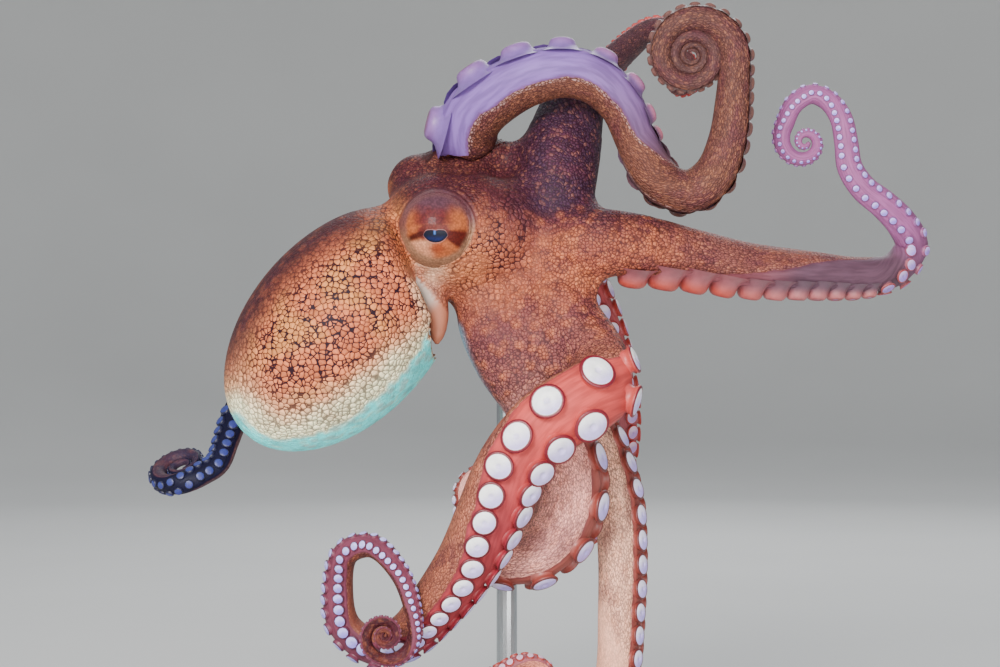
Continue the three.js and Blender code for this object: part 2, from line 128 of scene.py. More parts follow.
def vivid(red: int, green: int, blue: int, push: float = 1.45, gain: float = 0.9) -> Colour:
    """A display colour with its hue pushed, as studio light on moist skin washes it out.

    Args:
        red: Red, 0 to 255.
        green: Green.
        blue: Blue.
        push: How far each channel moves from the grey of the colour.
        gain: The brightness as a share.

    Returns:
        The colour as scene-linear RGBA.
    """
    c = np.array(linear(red, green, blue)[:3])
    grey = float(c @ np.array(GREY_WEIGHTS))
    out = np.clip((grey + (c - grey) * push) * gain, DARKEST, BRIGHTEST)
    return (*map(float, out), 1.0)


def blend(a: Array, b: Array, t: Array) -> Array:
    """Colours a to b by the share t, row by row."""
    share = np.asarray(t, dtype=float)[..., None]
    return np.asarray(a) * (1.0 - share) + np.asarray(b) * share


def read_table(s: Array, keys: Array, table: Array) -> Array:
    """Each column of a table read at the values s, between its rows at keys."""
    return np.stack([np.interp(s, keys, column) for column in table.T], axis=1)


def deselect() -> None:
    """Leaves object mode with nothing selected."""
    if bpy.context.object and bpy.context.object.mode != "OBJECT":
        bpy.ops.object.mode_set(mode="OBJECT")
    bpy.ops.object.select_all(action="DESELECT")


def only(piece: Piece) -> None:
    """Makes a piece the one selected, active object.

    Args:
        piece: The piece.
    """
    deselect()
    piece.select_set(True)
    bpy.context.view_layer.objects.active = piece


def unit_ball(name: str, segments: int, rings: int) -> Piece:
    """A sphere of radius 1, to be set in place.

    Args:
        name: Its name.
        segments: Its faces round Z.
        rings: Its faces from pole to pole.

    Returns:
        The sphere.
    """
    deselect()
    bpy.ops.mesh.primitive_uv_sphere_add(segments=segments, ring_count=rings, radius=1.0)
    piece = bpy.context.object
    piece.name = name
    piece.data.name = name
    return piece


def set_in_place(piece: Piece, size: Triple, axis: Triple, at: Triple) -> Piece:
    """Scales a piece, turns its Z axis and moves it.

    Args:
        piece: The piece, made at the origin.
        size: What one unit becomes along X, Y and Z, in millimetres.
        axis: Where its Z axis goes.
        at: Its middle, in millimetres.

    Returns:
        The piece, at the origin and unturned, with its place in its mesh.
    """
    piece.scale = tuple(length * MM for length in size)
    piece.rotation_mode = "QUATERNION"
    piece.rotation_quaternion = Vector(axis).to_track_quat("Z", "Y")
    piece.location = Vector(at) * MM
    only(piece)
    bpy.ops.object.transform_apply(location=True, rotation=True, scale=True)
    return piece


def edit_all(piece: Piece) -> None:
    """Opens a mesh for editing with all of it selected.

    Args:
        piece: The mesh's object.
    """
    only(piece)
    bpy.ops.object.mode_set(mode="EDIT")
    bpy.ops.mesh.select_all(action="SELECT")


def face_out() -> None:
    """Turns the mesh being edited to face out and leaves edit mode."""
    bpy.ops.mesh.select_all(action="SELECT")
    bpy.ops.mesh.normals_make_consistent(inside=False)
    bpy.ops.object.mode_set(mode="OBJECT")


def mesh_piece(name: str, points: Array, faces: Faces) -> Piece:
    """A mesh object from points in millimetres.

    Args:
        name: The object's name.
        points: One row for each vertex, in millimetres.
        faces: Corner numbers of each face.

    Returns:
        The new object, linked to the scene.
    """
    mesh = bpy.data.meshes.new(name)
    mesh.from_pydata((np.asarray(points) * MM).tolist(), [], faces)
    mesh.update()
    piece = bpy.data.objects.new(name, mesh)
    bpy.context.scene.collection.objects.link(piece)
    return piece


def join(pieces: list[Piece], name: str) -> Piece:
    """Joins objects into one.

    Args:
        pieces: The objects, of which the first stays.
        name: The name of the whole.

    Returns:
        The joined object.
    """
    deselect()
    for piece in pieces:
        piece.select_set(True)
    bpy.context.view_layer.objects.active = pieces[0]
    bpy.ops.object.join()
    pieces[0].name = name
    pieces[0].data.name = name
    return pieces[0]


def apply_modifier(piece: Piece, kind: str, **settings: object) -> None:
    """Adds a modifier and applies it at once.

    Args:
        piece: The object that is changed.
        kind: The modifier's type.
        settings: Its properties.
    """
    only(piece)
    modifier = piece.modifiers.new(kind.lower(), kind)
    for key, value in settings.items():
        setattr(modifier, key, value)
    bpy.ops.object.modifier_apply(modifier=modifier.name)


def read_rows(items: object, key: str, width: int) -> Array:
    """Reads a property of a mesh's vertices or of one of its layers.

    Args:
        items: The vertices or the layer's values.
        key: The property's name.
        width: How many numbers it has.

    Returns:
        One row for each item.
    """
    flat = np.empty(len(items) * width)
    items.foreach_get(key, flat)
    return flat.reshape(-1, width)


def vertices(piece: Piece) -> Array:
    """A mesh's vertices in millimetres."""
    return read_rows(piece.data.vertices, "co", 3) / MM


def move_vertices(piece: Piece, points: Array) -> None:
    """Sets a mesh's vertices, given in millimetres."""
    piece.data.vertices.foreach_set("co", (points * MM).ravel())
    piece.data.update()


def store(piece: Piece, name: str, values: Array) -> None:
    """Stores a value, a place or a colour for each vertex.

    Args:
        piece: The object.
        name: The attribute's name.
        values: One number, one XYZ row or one RGBA row for each vertex.
    """
    kind, field_name = {0: ("FLOAT", "value"), 3: ("FLOAT_VECTOR", "vector"),
                        4: ("FLOAT_COLOR", "color")}[0 if values.ndim == 1 else values.shape[1]]
    layer = piece.data.attributes.new(name, kind, "POINT")
    layer.data.foreach_set(field_name, values.astype(float).ravel())


def ripple(points: Array, size: float, seed: float) -> Array:
    """Smooth noise between about -1 and 1 at each point.

    Args:
        points: Places in millimetres.
        size: The noise's grain in millimetres.
        seed: Moves the pattern.

    Returns:
        One value for each point.
    """
    return np.array([noise.noise(Vector(p) / size + Vector((seed, seed * 2.0, seed * 3.0)))
                     for p in points])


# ---------- finishes


class Nodes:
    """A short hand for one shader node tree."""

    def __init__(self, tree: Tree) -> None:
        """Keeps the tree that the nodes go in."""
        self.tree = tree
        self.column = 0

    def add(self, kind: str, **settings: object) -> Node:
        """Adds a node and sets its properties.

        Args:
            kind: The node's type.
            settings: Its properties.

        Returns:
            The new node.
        """
        node = self.tree.nodes.new(kind)
        self.column += 1
        node.location = (self.column * 180, -(self.column % 5) * 160)
        for key, value in settings.items():
            setattr(node, key, value)
        return node

    def put(self, socket: Socket, value: object) -> None:
        """Links a socket to another, or sets its value.

        Args:
            socket: The socket that is changed.
            value: A socket or a value, or None for neither.
        """
        if isinstance(value, Socket):
            self.tree.links.new(value, socket)
        elif value is not None:
            socket.default_value = value

    def fill(self, node: Node, inputs: dict[str, object]) -> Node:
        """Links or sets a node's inputs.

        Args:
            node: The node.
            inputs: A socket or a value for each input named.

        Returns:
            The node.
        """
        for key, value in inputs.items():
            self.put(node.inputs[key], value)
        return node

    def math(self, operation: str, a: object, b: object = None, c: object = None,
             clamp: bool = False) -> Socket:
        """A Math node.

        Args:
            operation: What it works out.
            a: The first value or socket.
            b: The second.
            c: The third.
            clamp: Keep the result between 0 and 1.

        Returns:
            The result's socket.
        """
        node = self.add("ShaderNodeMath", operation=operation, use_clamp=clamp)
        for socket, value in zip(node.inputs, (a, b, c)):
            self.put(socket, value)
        return node.outputs[0]

    def times(self, a: object, b: object) -> Socket:
        """The product of two values or sockets."""
        return self.math("MULTIPLY", a, b)

    def plus(self, a: object, b: object) -> Socket:
        """The sum of two values or sockets."""
        return self.math("ADD", a, b)

    def minus(self, a: object, b: object) -> Socket:
        """One value or socket less another."""
        return self.math("SUBTRACT", a, b)

    def step(self, value: object, low: float, high: float, start: float = 0.0,
             end: float = 1.0) -> Socket:
        """A smooth step of a value.

        Args:
            value: The socket read.
            low: The value where the step starts.
            high: The value where it ends.
            start: The result below low.
            end: The result above high.

        Returns:
            The result's socket.
        """
        node = self.add("ShaderNodeMapRange", interpolation_type="SMOOTHSTEP")
        for socket, given in zip(node.inputs, (value, low, high, start, end)):
            self.put(socket, given)
        return node.outputs[0]

    def mix(self, share: object, a: object, b: object, how: str = "MIX") -> Socket:
        """Mixes two colours.

        Args:
            share: How much of b.
            a: The first colour or socket.
            b: The second.
            how: The blend type.

        Returns:
            The colour's socket.
        """
        node = self.add("ShaderNodeMix", data_type="RGBA", blend_type=how, clamp_factor=True)
        self.put(node.inputs[0], share)
        self.put(node.inputs[6], a)
        self.put(node.inputs[7], b)
        return node.outputs[2]

    def scaled(self, colour: object, by: object) -> Socket:
        """A colour multiplied by another colour or by a value."""
        return self.mix(1.0, colour, by, "MULTIPLY")

    def read(self, name: str, output: str = "Fac") -> Socket:
        """The socket of an attribute stored on the mesh."""
        return self.add("ShaderNodeAttribute", attribute_name=name).outputs[output]

    def place(self) -> Socket:
        """Object coordinates."""
        return self.add("ShaderNodeTexCoord").outputs["Object"]

    def noise(self, place: object, scale: float, detail: float = 2.0) -> Socket:
        """Noise between 0 and 1 at a scale per metre."""
        node = self.add("ShaderNodeTexNoise")
        return self.fill(node, {"Vector": place, "Scale": scale, "Detail": detail}).outputs["Fac"]

    def mounds(self, place: object, scale: object, smoothness: float) -> Node:
        """Soft cells round scattered points, read by their distance."""
        node = self.add("ShaderNodeTexVoronoi", feature="SMOOTH_F1")
        return self.fill(node, {"Vector": place, "Scale": scale, "Smoothness": smoothness})

    def relief(self, shader: Node, height: Socket, strength: float,
               distance: float) -> None:
        """Gives a surface shader its relief.

        Args:
            shader: The shader.
            height: The relief's height, 0 to 1.
            strength: How much of it shows.
            distance: Its depth, in metres.
        """
        node = self.add("ShaderNodeBump")
        self.fill(node, {"Strength": strength, "Distance": distance, "Height": height})
        self.put(shader.inputs["Normal"], node.outputs[0])


def new_material(name: str) -> tuple[Material, Nodes, Node]:
    """A node material with an empty Principled surface.

    Args:
        name: The material's name.

    Returns:
        The material, its nodes and its surface shader.
    """
    material = bpy.data.materials.new(name)
    material.use_nodes = True
    nodes = Nodes(material.node_tree)
    return material, nodes, material.node_tree.nodes["Principled BSDF"]


def shader_group(name: str, inputs: dict[str, tuple[str, object]],
                 outputs: dict[str, str]) -> tuple[Nodes, Node, Node]:
    """An empty shader node group with named sockets.

    Args:
        name: The group's name.
        inputs: Socket type and default for each input.
        outputs: Socket type for each output.

    Returns:
        The group's nodes, its input node and its output node.
    """
    tree = bpy.data.node_groups.new(name, "ShaderNodeTree")
    for key, (kind, value) in inputs.items():
        socket = tree.interface.new_socket(name=key, in_out="INPUT", socket_type=kind)
        if value is not None:
            socket.default_value = value
    for key, kind in outputs.items():
        tree.interface.new_socket(name=key, in_out="OUTPUT", socket_type=kind)
    nodes = Nodes(tree)
    return nodes, nodes.add("NodeGroupInput"), nodes.add("NodeGroupOutput")


class SkinEffects:
    """The node groups that more than one finish uses, each built once."""

    FLOAT = "NodeSocketFloat"
    VECTOR = "NodeSocketVector"
    WARP = 0.0008

    def __init__(self) -> None:
        """Builds the groups."""
        self.cells = self.build_cells()
        self.grain = self.build_grain()

    def build_cells(self) -> Tree:
        """Rounded skin cells parted by grooves, with a random tone for each cell.

        Returns:
            The group.
        """
        n, given, out = shader_group(
            "skin_cells",
            {"Place": (self.VECTOR, None), "Scale": (self.FLOAT, 200.0),
             "Groove": (self.FLOAT, 0.12), "Random": (self.FLOAT, 0.85)},
            {"Groove": self.FLOAT, "Dome": self.FLOAT, "Tone": self.FLOAT})
        place = given.outputs["Place"]
        warp = n.fill(n.add("ShaderNodeTexNoise"), {"Vector": place, "Scale": 420.0})
        shift = n.add("ShaderNodeVectorMath", operation="MULTIPLY_ADD")
        for socket, value in zip(shift.inputs, (warp.outputs["Color"], (self.WARP,) * 3, place)):
            n.put(socket, value)
        first = n.add("ShaderNodeTexVoronoi", feature="F1")
        second = n.add("ShaderNodeTexVoronoi", feature="F2")
        for node in (first, second):
            n.fill(node, {"Vector": shift.outputs[0], "Scale": given.outputs["Scale"],
                          "Randomness": given.outputs["Random"]})
        near = first.outputs["Distance"]
        inner = n.minus(second.outputs["Distance"], near)
        inner = n.minus(inner, n.times(n.step(near, 0.42, 0.8), 0.07))
        wide = n.times(given.outputs["Groove"],
                       n.step(n.noise(place, 75.0, 3.0), 0.36, 0.66, 0.7, 1.25))
        groove = n.math("SUBTRACT", 1.0, n.math("DIVIDE", inner, wide), clamp=True)
        split = n.add("ShaderNodeSeparateColor")
        n.put(split.inputs[0], first.outputs["Color"])
        n.fill(out, {"Groove": n.step(groove, 0.0, 0.8), "Dome": n.step(inner, 0.0, 0.5),
                     "Tone": split.outputs[0]})
        return n.tree

    def build_grain(self) -> Tree:
        """Fine granules and pores.

        Returns:
            The group.
        """
        n, given, out = shader_group(
            "skin_grain",
            {"Place": (self.VECTOR, None), "Scale": (self.FLOAT, 650.0)},
            {"Height": self.FLOAT, "Speck": self.FLOAT})
        place = given.outputs["Place"]
        cell = n.mounds(place, given.outputs["Scale"], 0.3)
        height = n.times(n.minus(1.0, cell.outputs["Distance"]), 0.8)
        n.fill(out, {"Height": n.plus(height, n.times(n.noise(place, 2600.0, 3.0), 0.2)),
                     "Speck": n.step(n.noise(place, 1500.0), 0.6, 0.72)})
        return n.tree

    def use(self, nodes: Nodes, tree: Tree, **values: object) -> Node:
        """Places a group in a material.

        Args:
            nodes: The material's nodes.
            tree: The group.
            values: What goes into its inputs.

        Returns:
            The group's node.
        """
        node = nodes.add("ShaderNodeGroup")
        node.node_tree = tree
        return nodes.fill(node, values)


@dataclass(frozen=True)
class SkinFinish:
    """Moist skin: a broad colour from the mesh, netted cells, granules and specks."""

    name: str = "octopus_skin"
    cell_scale: float = 345.0
    fine_scale: float = 520.0
    grain_scale: float = 1500.0
    patch_scale: float = 135.0
    roughness: float = 0.48
    groove: Colour = vivid(30, 12, 22)
    brim: Colour = vivid(226, 196, 196, 1.1)
    speck: Colour = vivid(222, 158, 120, 1.3)
    wart: Colour = vivid(190, 116, 92, 1.25)
    # A dark pigment for the blotches, also used for the painted shadow line just inside the bare skin's
    # edge.
    shade: Colour = vivid(88, 52, 62)

    def build(self, effects: SkinEffects) -> Material:
        """Makes the material.

        Args:
            effects: The shared node groups.

        Returns:
            The material.
        """
        material, n, skin = new_material(self.name)
        place = n.read("place", "Vector")
        big = effects.use(n, effects.cells, Place=place, Scale=self.cell_scale, Groove=0.17,
                          Random=0.8).outputs
        small = effects.use(n, effects.cells, Place=place, Scale=self.fine_scale, Groove=0.21,
                            Random=0.85).outputs
        grain = effects.use(n, effects.grain, Place=place, Scale=self.grain_scale).outputs
        wander = n.math("MULTIPLY_ADD", n.noise(place, 420.0), 0.14, -0.07)
        brink = n.plus(n.read("brink"), wander)
        under = n.step(brink, -0.03, 0.015, 1.0, 0.0)
        covered = n.minus(1.0, under)
        cells, fine = n.times(n.read("cells"), covered), n.times(n.read("fine"), covered)
        patch = n.mounds(place, self.patch_scale, 0.4).outputs["Distance"]
        warts = n.times(n.times(n.read("warts"), covered), n.step(patch, 0.2, 0.52, 1.0, 0.0))

        blotch = n.times(n.step(n.noise(place, 60.0, 3.0), 0.46, 0.64),
                         n.step(patch, 0.3, 0.55, 0.55, 1.0))
        tone = n.mix(n.times(blotch, n.times(fine, 0.5)), n.read("tone", "Color"), self.shade)
        tone = n.mix(n.times(warts, 0.55), tone, self.wart)
        lift = n.step(big["Tone"], 0.0, 1.0, 0.78, 1.22)
        tone = n.mix(n.times(cells, 0.9), tone, n.scaled(tone, lift))
        lift = n.step(small["Tone"], 0.0, 1.0, 0.8, 1.2)
        tone = n.mix(n.times(fine, 0.9), tone, n.scaled(tone, lift))
        bright = n.times(n.step(small["Tone"], 0.7, 0.95), n.times(fine, 0.12))
        tone = n.mix(bright, tone, self.speck)
        tone = n.mix(n.times(grain["Speck"], n.times(fine, 0.14)), tone, self.speck)
        dark = n.math("MAXIMUM", n.times(big["Groove"], cells),
                      n.times(small["Groove"], n.times(fine, 0.85)))
        inked = n.mix(n.times(dark, n.read("ink")), tone, self.groove)
        edge = n.times(n.step(brink, -0.03, 0.02), n.step(brink, 0.08, 0.17, 1.0, 0.0))
        inked = n.mix(n.times(n.times(edge, small["Dome"]), n.read("brim")), inked, self.brim)

        streak = n.noise(n.read("way", "Vector"), 1.0, 3.0)
        bare = n.scaled(n.read("bare", "Color"), n.step(streak, 0.34, 0.66, 1.14, 0.78))
        # Painted shadow: the bare skin darkens in a thin line just under the edge of the back.
        bare = n.mix(n.times(n.step(brink, -0.13, -0.03), 0.45), bare, self.shade)

        height = n.plus(n.times(big["Dome"], cells), n.times(small["Dome"], n.times(fine, 0.7)))
        height = n.plus(height, n.times(grain["Height"], n.plus(0.05, n.times(fine, 0.12))))
        height = n.plus(height, n.times(warts, 1.2))
        height = n.plus(height, n.times(n.times(streak, under), 0.28))
        n.relief(skin, height, 0.85, 0.0006)
        n.fill(skin, {"Base Color": n.mix(under, inked, bare),
                      "Roughness": n.plus(self.roughness, n.times(grain["Height"], 0.1)),
                      "Specular IOR Level": 0.15,
                      "Subsurface Weight": 0.05,
                      "Subsurface Radius": (0.003, 0.001, 0.0007)})
        return material


@dataclass(frozen=True)
class SuckerFinish:
    """A sucker from its wall over the dark rim to the pearly cup."""

    name: str = "sucker_skin"
    shadow: Colour = vivid(196, 184, 232, 1.3, 1.0)

    def build(self, effects: SkinEffects) -> Material:
        """Makes the material.

        Args:
            effects: The shared node groups.

        Returns:
            The material.
        """
        material, n, skin = new_material(self.name)
        place = n.place()
        grain = effects.use(n, effects.grain, Place=place, Scale=1100.0)
        cup, pearl = n.read("cup"), n.read("pearl", "Color")
        colour = n.mix(n.step(cup, 0.03, 0.24), n.read("flesh", "Color"), n.read("wall", "Color"))
        colour = n.mix(n.step(cup, 0.27, 0.38), colour, n.read("rim", "Color"))
        colour = n.mix(n.step(cup, 0.47, 0.55), colour, pearl)
        # Painted shade: the pearly cup goes lavender on its lower side and in its pit.
        lower = n.scaled(pearl, self.shadow)
        turned = n.times(n.step(n.read("shade"), -0.5, 0.7), 0.95)
        colour = n.mix(n.times(n.step(cup, 0.5, 0.58), turned), colour, lower)
        colour = n.mix(n.times(n.step(cup, 0.84, 0.93), 0.4), colour, lower)
        mottle = n.step(n.noise(place, 300.0), 0.3, 0.7, 0.92, 1.05)
        n.relief(skin, grain.outputs["Height"], 0.3, 0.0003)
        n.fill(skin, {"Base Color": n.scaled(colour, mottle),
                      "Roughness": n.step(cup, 0.4, 0.6, 0.45, 0.5),
                      "Coat Weight": 0.1,
                      "Coat Roughness": 0.2,
                      "Subsurface Weight": 0.1,
                      "Subsurface Radius": (0.002, 0.001, 0.001)})
        return material


@dataclass(frozen=True)
class EyeFinish:
    """A moist eye: a painted iris and a broad pupil, nearly flat on top with a small notch.
    The pupil's sizes are in millimetres on an eye whose lids open to Eye.PAINTED."""

    name: str = "eye_wet"
    pupil: Colour = linear(2, 6, 28)
    # The pupil's blue and streak colours are a painted reflection and a painted highlight.
    glint_colour: Colour = linear(6, 24, 84)
    streak: Colour = linear(70, 120, 200)
    rim: Colour = linear(176, 140, 140)
    half: float = 6.6
    top: float = 3.1
    low: float = 3.4
    notch: float = 0.3

    def build(self, effects: SkinEffects) -> Material:
        """Makes the material.

        Args:
            effects: The shared node groups.

        Returns:
            The material.
        """
        material, n, eye = new_material(self.name)
        across, height = n.read("across"), n.read("height")
        span = n.math("DIVIDE", n.math("ABSOLUTE", across), self.half)
        dip = n.times(n.step(span, 0.0, 0.3, 1.0, 0.0), self.notch)
        top = n.minus(n.minus(self.top, dip), n.times(n.math("POWER", span, 7.0), 3.0))
        low = n.plus(-self.low, n.times(n.math("POWER", span, 2.6), self.low + 0.6))
        inside = n.math("MINIMUM", n.minus(top, height), n.minus(height, low))
        ring = n.times(n.step(inside, -0.6, -0.35), n.step(inside, 0.0, -0.2))
        place = n.place()
        grain = effects.use(n, effects.grain, Place=place, Scale=800.0)
        cloud = n.step(n.noise(place, 500.0), 0.3, 0.62, 0.35, 0.9)
        # Painted reflection: a cloudy blue low in the pupil.
        glint = n.times(n.step(height, 1.0, -3.0), n.times(n.step(inside, 0.3, 1.6), cloud))
        # Painted highlight: a pale blue streak down the middle of the pupil.
        middle = n.step(n.math("ABSOLUTE", n.minus(across, -0.4)), 0.9, 0.1)
        streak = n.times(middle, n.step(height, 0.2, 1.4))
        iris = n.scaled(n.read("iris", "Color"),
                        n.step(grain.outputs["Height"], 0.15, 0.95, 0.72, 1.3))
        iris = n.mix(n.times(ring, 0.32), iris, self.rim)
        deep = n.mix(glint, self.pupil, self.glint_colour)
        deep = n.mix(n.times(streak, 0.7), deep, self.streak)
        n.fill(eye, {"Base Color": n.mix(n.step(inside, -0.1, 0.12), iris, deep),
                     "Roughness": 0.5,
                     "Specular IOR Level": 0.16,
                     "Coat Weight": 0.05,
                     "Coat Roughness": 0.08})
        return material


@dataclass(frozen=True)
class BeakFinish:
    """The horny beak, dark with pale specks."""

    name: str = "beak_horn"
    horn: Colour = linear(46, 28, 20)
    pale: Colour = linear(150, 104, 70)

    def build(self, effects: SkinEffects) -> Material:
        """Makes the material.

        Args:
            effects: The shared node groups.

        Returns:
            The material.
        """
        material, n, horn = new_material(self.name)
        grain = effects.use(n, effects.grain, Place=n.place(), Scale=1400.0)
        n.fill(horn, {"Base Color": n.mix(grain.outputs["Speck"], self.horn, self.pale),
                      "Roughness": n.step(grain.outputs["Height"], 0.0, 1.0, 0.2, 0.4)})
        return material


@dataclass(frozen=True)
class StandFinish:
    """Satin paint or brushed steel, by its metalness."""

    name: str
    colour: Colour
    metalness: float
    roughness: float
    stretch: Triple

    def build(self) -> Material:
        """Makes the material.

        Returns:
            The material.
        """
        material, n, metal = new_material(self.name)
        mapping = n.fill(n.add("ShaderNodeMapping"), {"Vector": n.place(), "Scale": self.stretch})
        lines = n.noise(mapping.outputs[0], 900.0)
        n.relief(metal, lines, 0.12, 0.0001)
        n.fill(metal, {"Base Color": n.scaled(self.colour, n.step(lines, 0.3, 0.7, 0.88, 1.1)),
                       "Roughness": n.step(lines, 0.3, 0.7, self.roughness - 0.05,
                                           self.roughness + 0.06),
                       "Metallic": self.metalness})
        return material


# ---------- arms


class Tint(Enum):
    """The colours of a sucker side: its bare skin, then its suckers' walls, rims and cups."""

    SALMON = (vivid(184, 92, 90, 1.35), vivid(176, 92, 88, 1.35), vivid(104, 34, 44),
              vivid(250, 246, 255, 1.0, 1.08))
    ROSE = (vivid(156, 78, 82, 1.35), vivid(142, 62, 70, 1.4), vivid(86, 24, 36),
            vivid(250, 246, 255, 1.0, 1.08))
    CORAL = (vivid(146, 92, 98, 1.25), vivid(160, 80, 74, 1.35), vivid(140, 52, 50, 1.4),
             vivid(206, 176, 192, 1.1, 1.0))
    BRICK = (vivid(152, 88, 82, 1.15), vivid(136, 70, 64, 1.25), vivid(96, 42, 42, 1.2),
             vivid(232, 226, 248, 1.1, 1.05))
    PLUM = (vivid(98, 72, 86, 1.1), vivid(168, 104, 106, 1.2), vivid(140, 66, 70, 1.3),
            vivid(190, 168, 204, 1.1, 1.0))
    LILAC = (vivid(146, 96, 134, 1.3), vivid(138, 96, 142, 1.3), vivid(104, 66, 112, 1.3),
             vivid(190, 176, 228, 1.3, 0.98))
    LAVENDER = (vivid(124, 100, 156, 1.35), vivid(128, 98, 146, 1.35), vivid(120, 84, 112, 1.3),
                vivid(196, 170, 206, 1.2, 1.0))
    UMBER = (vivid(104, 72, 68, 1.1), vivid(104, 72, 66, 1.2), vivid(82, 54, 56, 1.2),
             vivid(150, 118, 130, 1.1))
    VIOLET = (vivid(112, 66, 80, 1.3), vivid(112, 62, 78, 1.3), vivid(70, 34, 62, 1.3),
              vivid(186, 182, 232, 1.2, 1.02))
    # Painted shadow: near-black blues for the part of an arm that lies in shade.
    SHADOWED = (vivid(20, 19, 38), vivid(26, 26, 54), vivid(20, 20, 42), vivid(52, 60, 118, 1.3, 0.9))


@dataclass(frozen=True)
class Coil:
    """A spiral arm tip: its axis and size, its tightening, and the side its suckers face."""

    axis: Triple
    radius: float
    tighten: float
    turns: float
    thin: float
    face: tuple[float, float]


@dataclass(frozen=True)
class ArmSpec:
    """One arm, in millimetres: the way of its middle line, its coil, and at lengths along it
    half its width, the side of its suckers, how far round from there it is bare, its tints, and
    the suckers' share of that half width, their spacing and how tall they are. The back has two
    colours, at the root and at the tip. The suckers are drawn in to bulbs up to length bulbs,
    and an edged arm has a pale line where the bare skin ends."""

    name: str
    way: tuple[Triple, ...]
    coil: Coil
    girth: Keys
    oral: Keys
    join: float
    bare: Keys
    tints: tuple[tuple[float, Tint], ...]
    cups: Keys
    back: tuple[Colour, Colour]
    bulbs: float = 0.0
    edged: bool = False

    def tints_at(self, s: Array, part: int) -> Array:
        """A part's colour at lengths along the arm: 0 bare skin, 1 walls, 2 rims, 3 cups."""
        keys = np.array([key for key, _ in self.tints], dtype=float)
        return read_table(s, keys, np.array([tint.value[part] for _, tint in self.tints]))


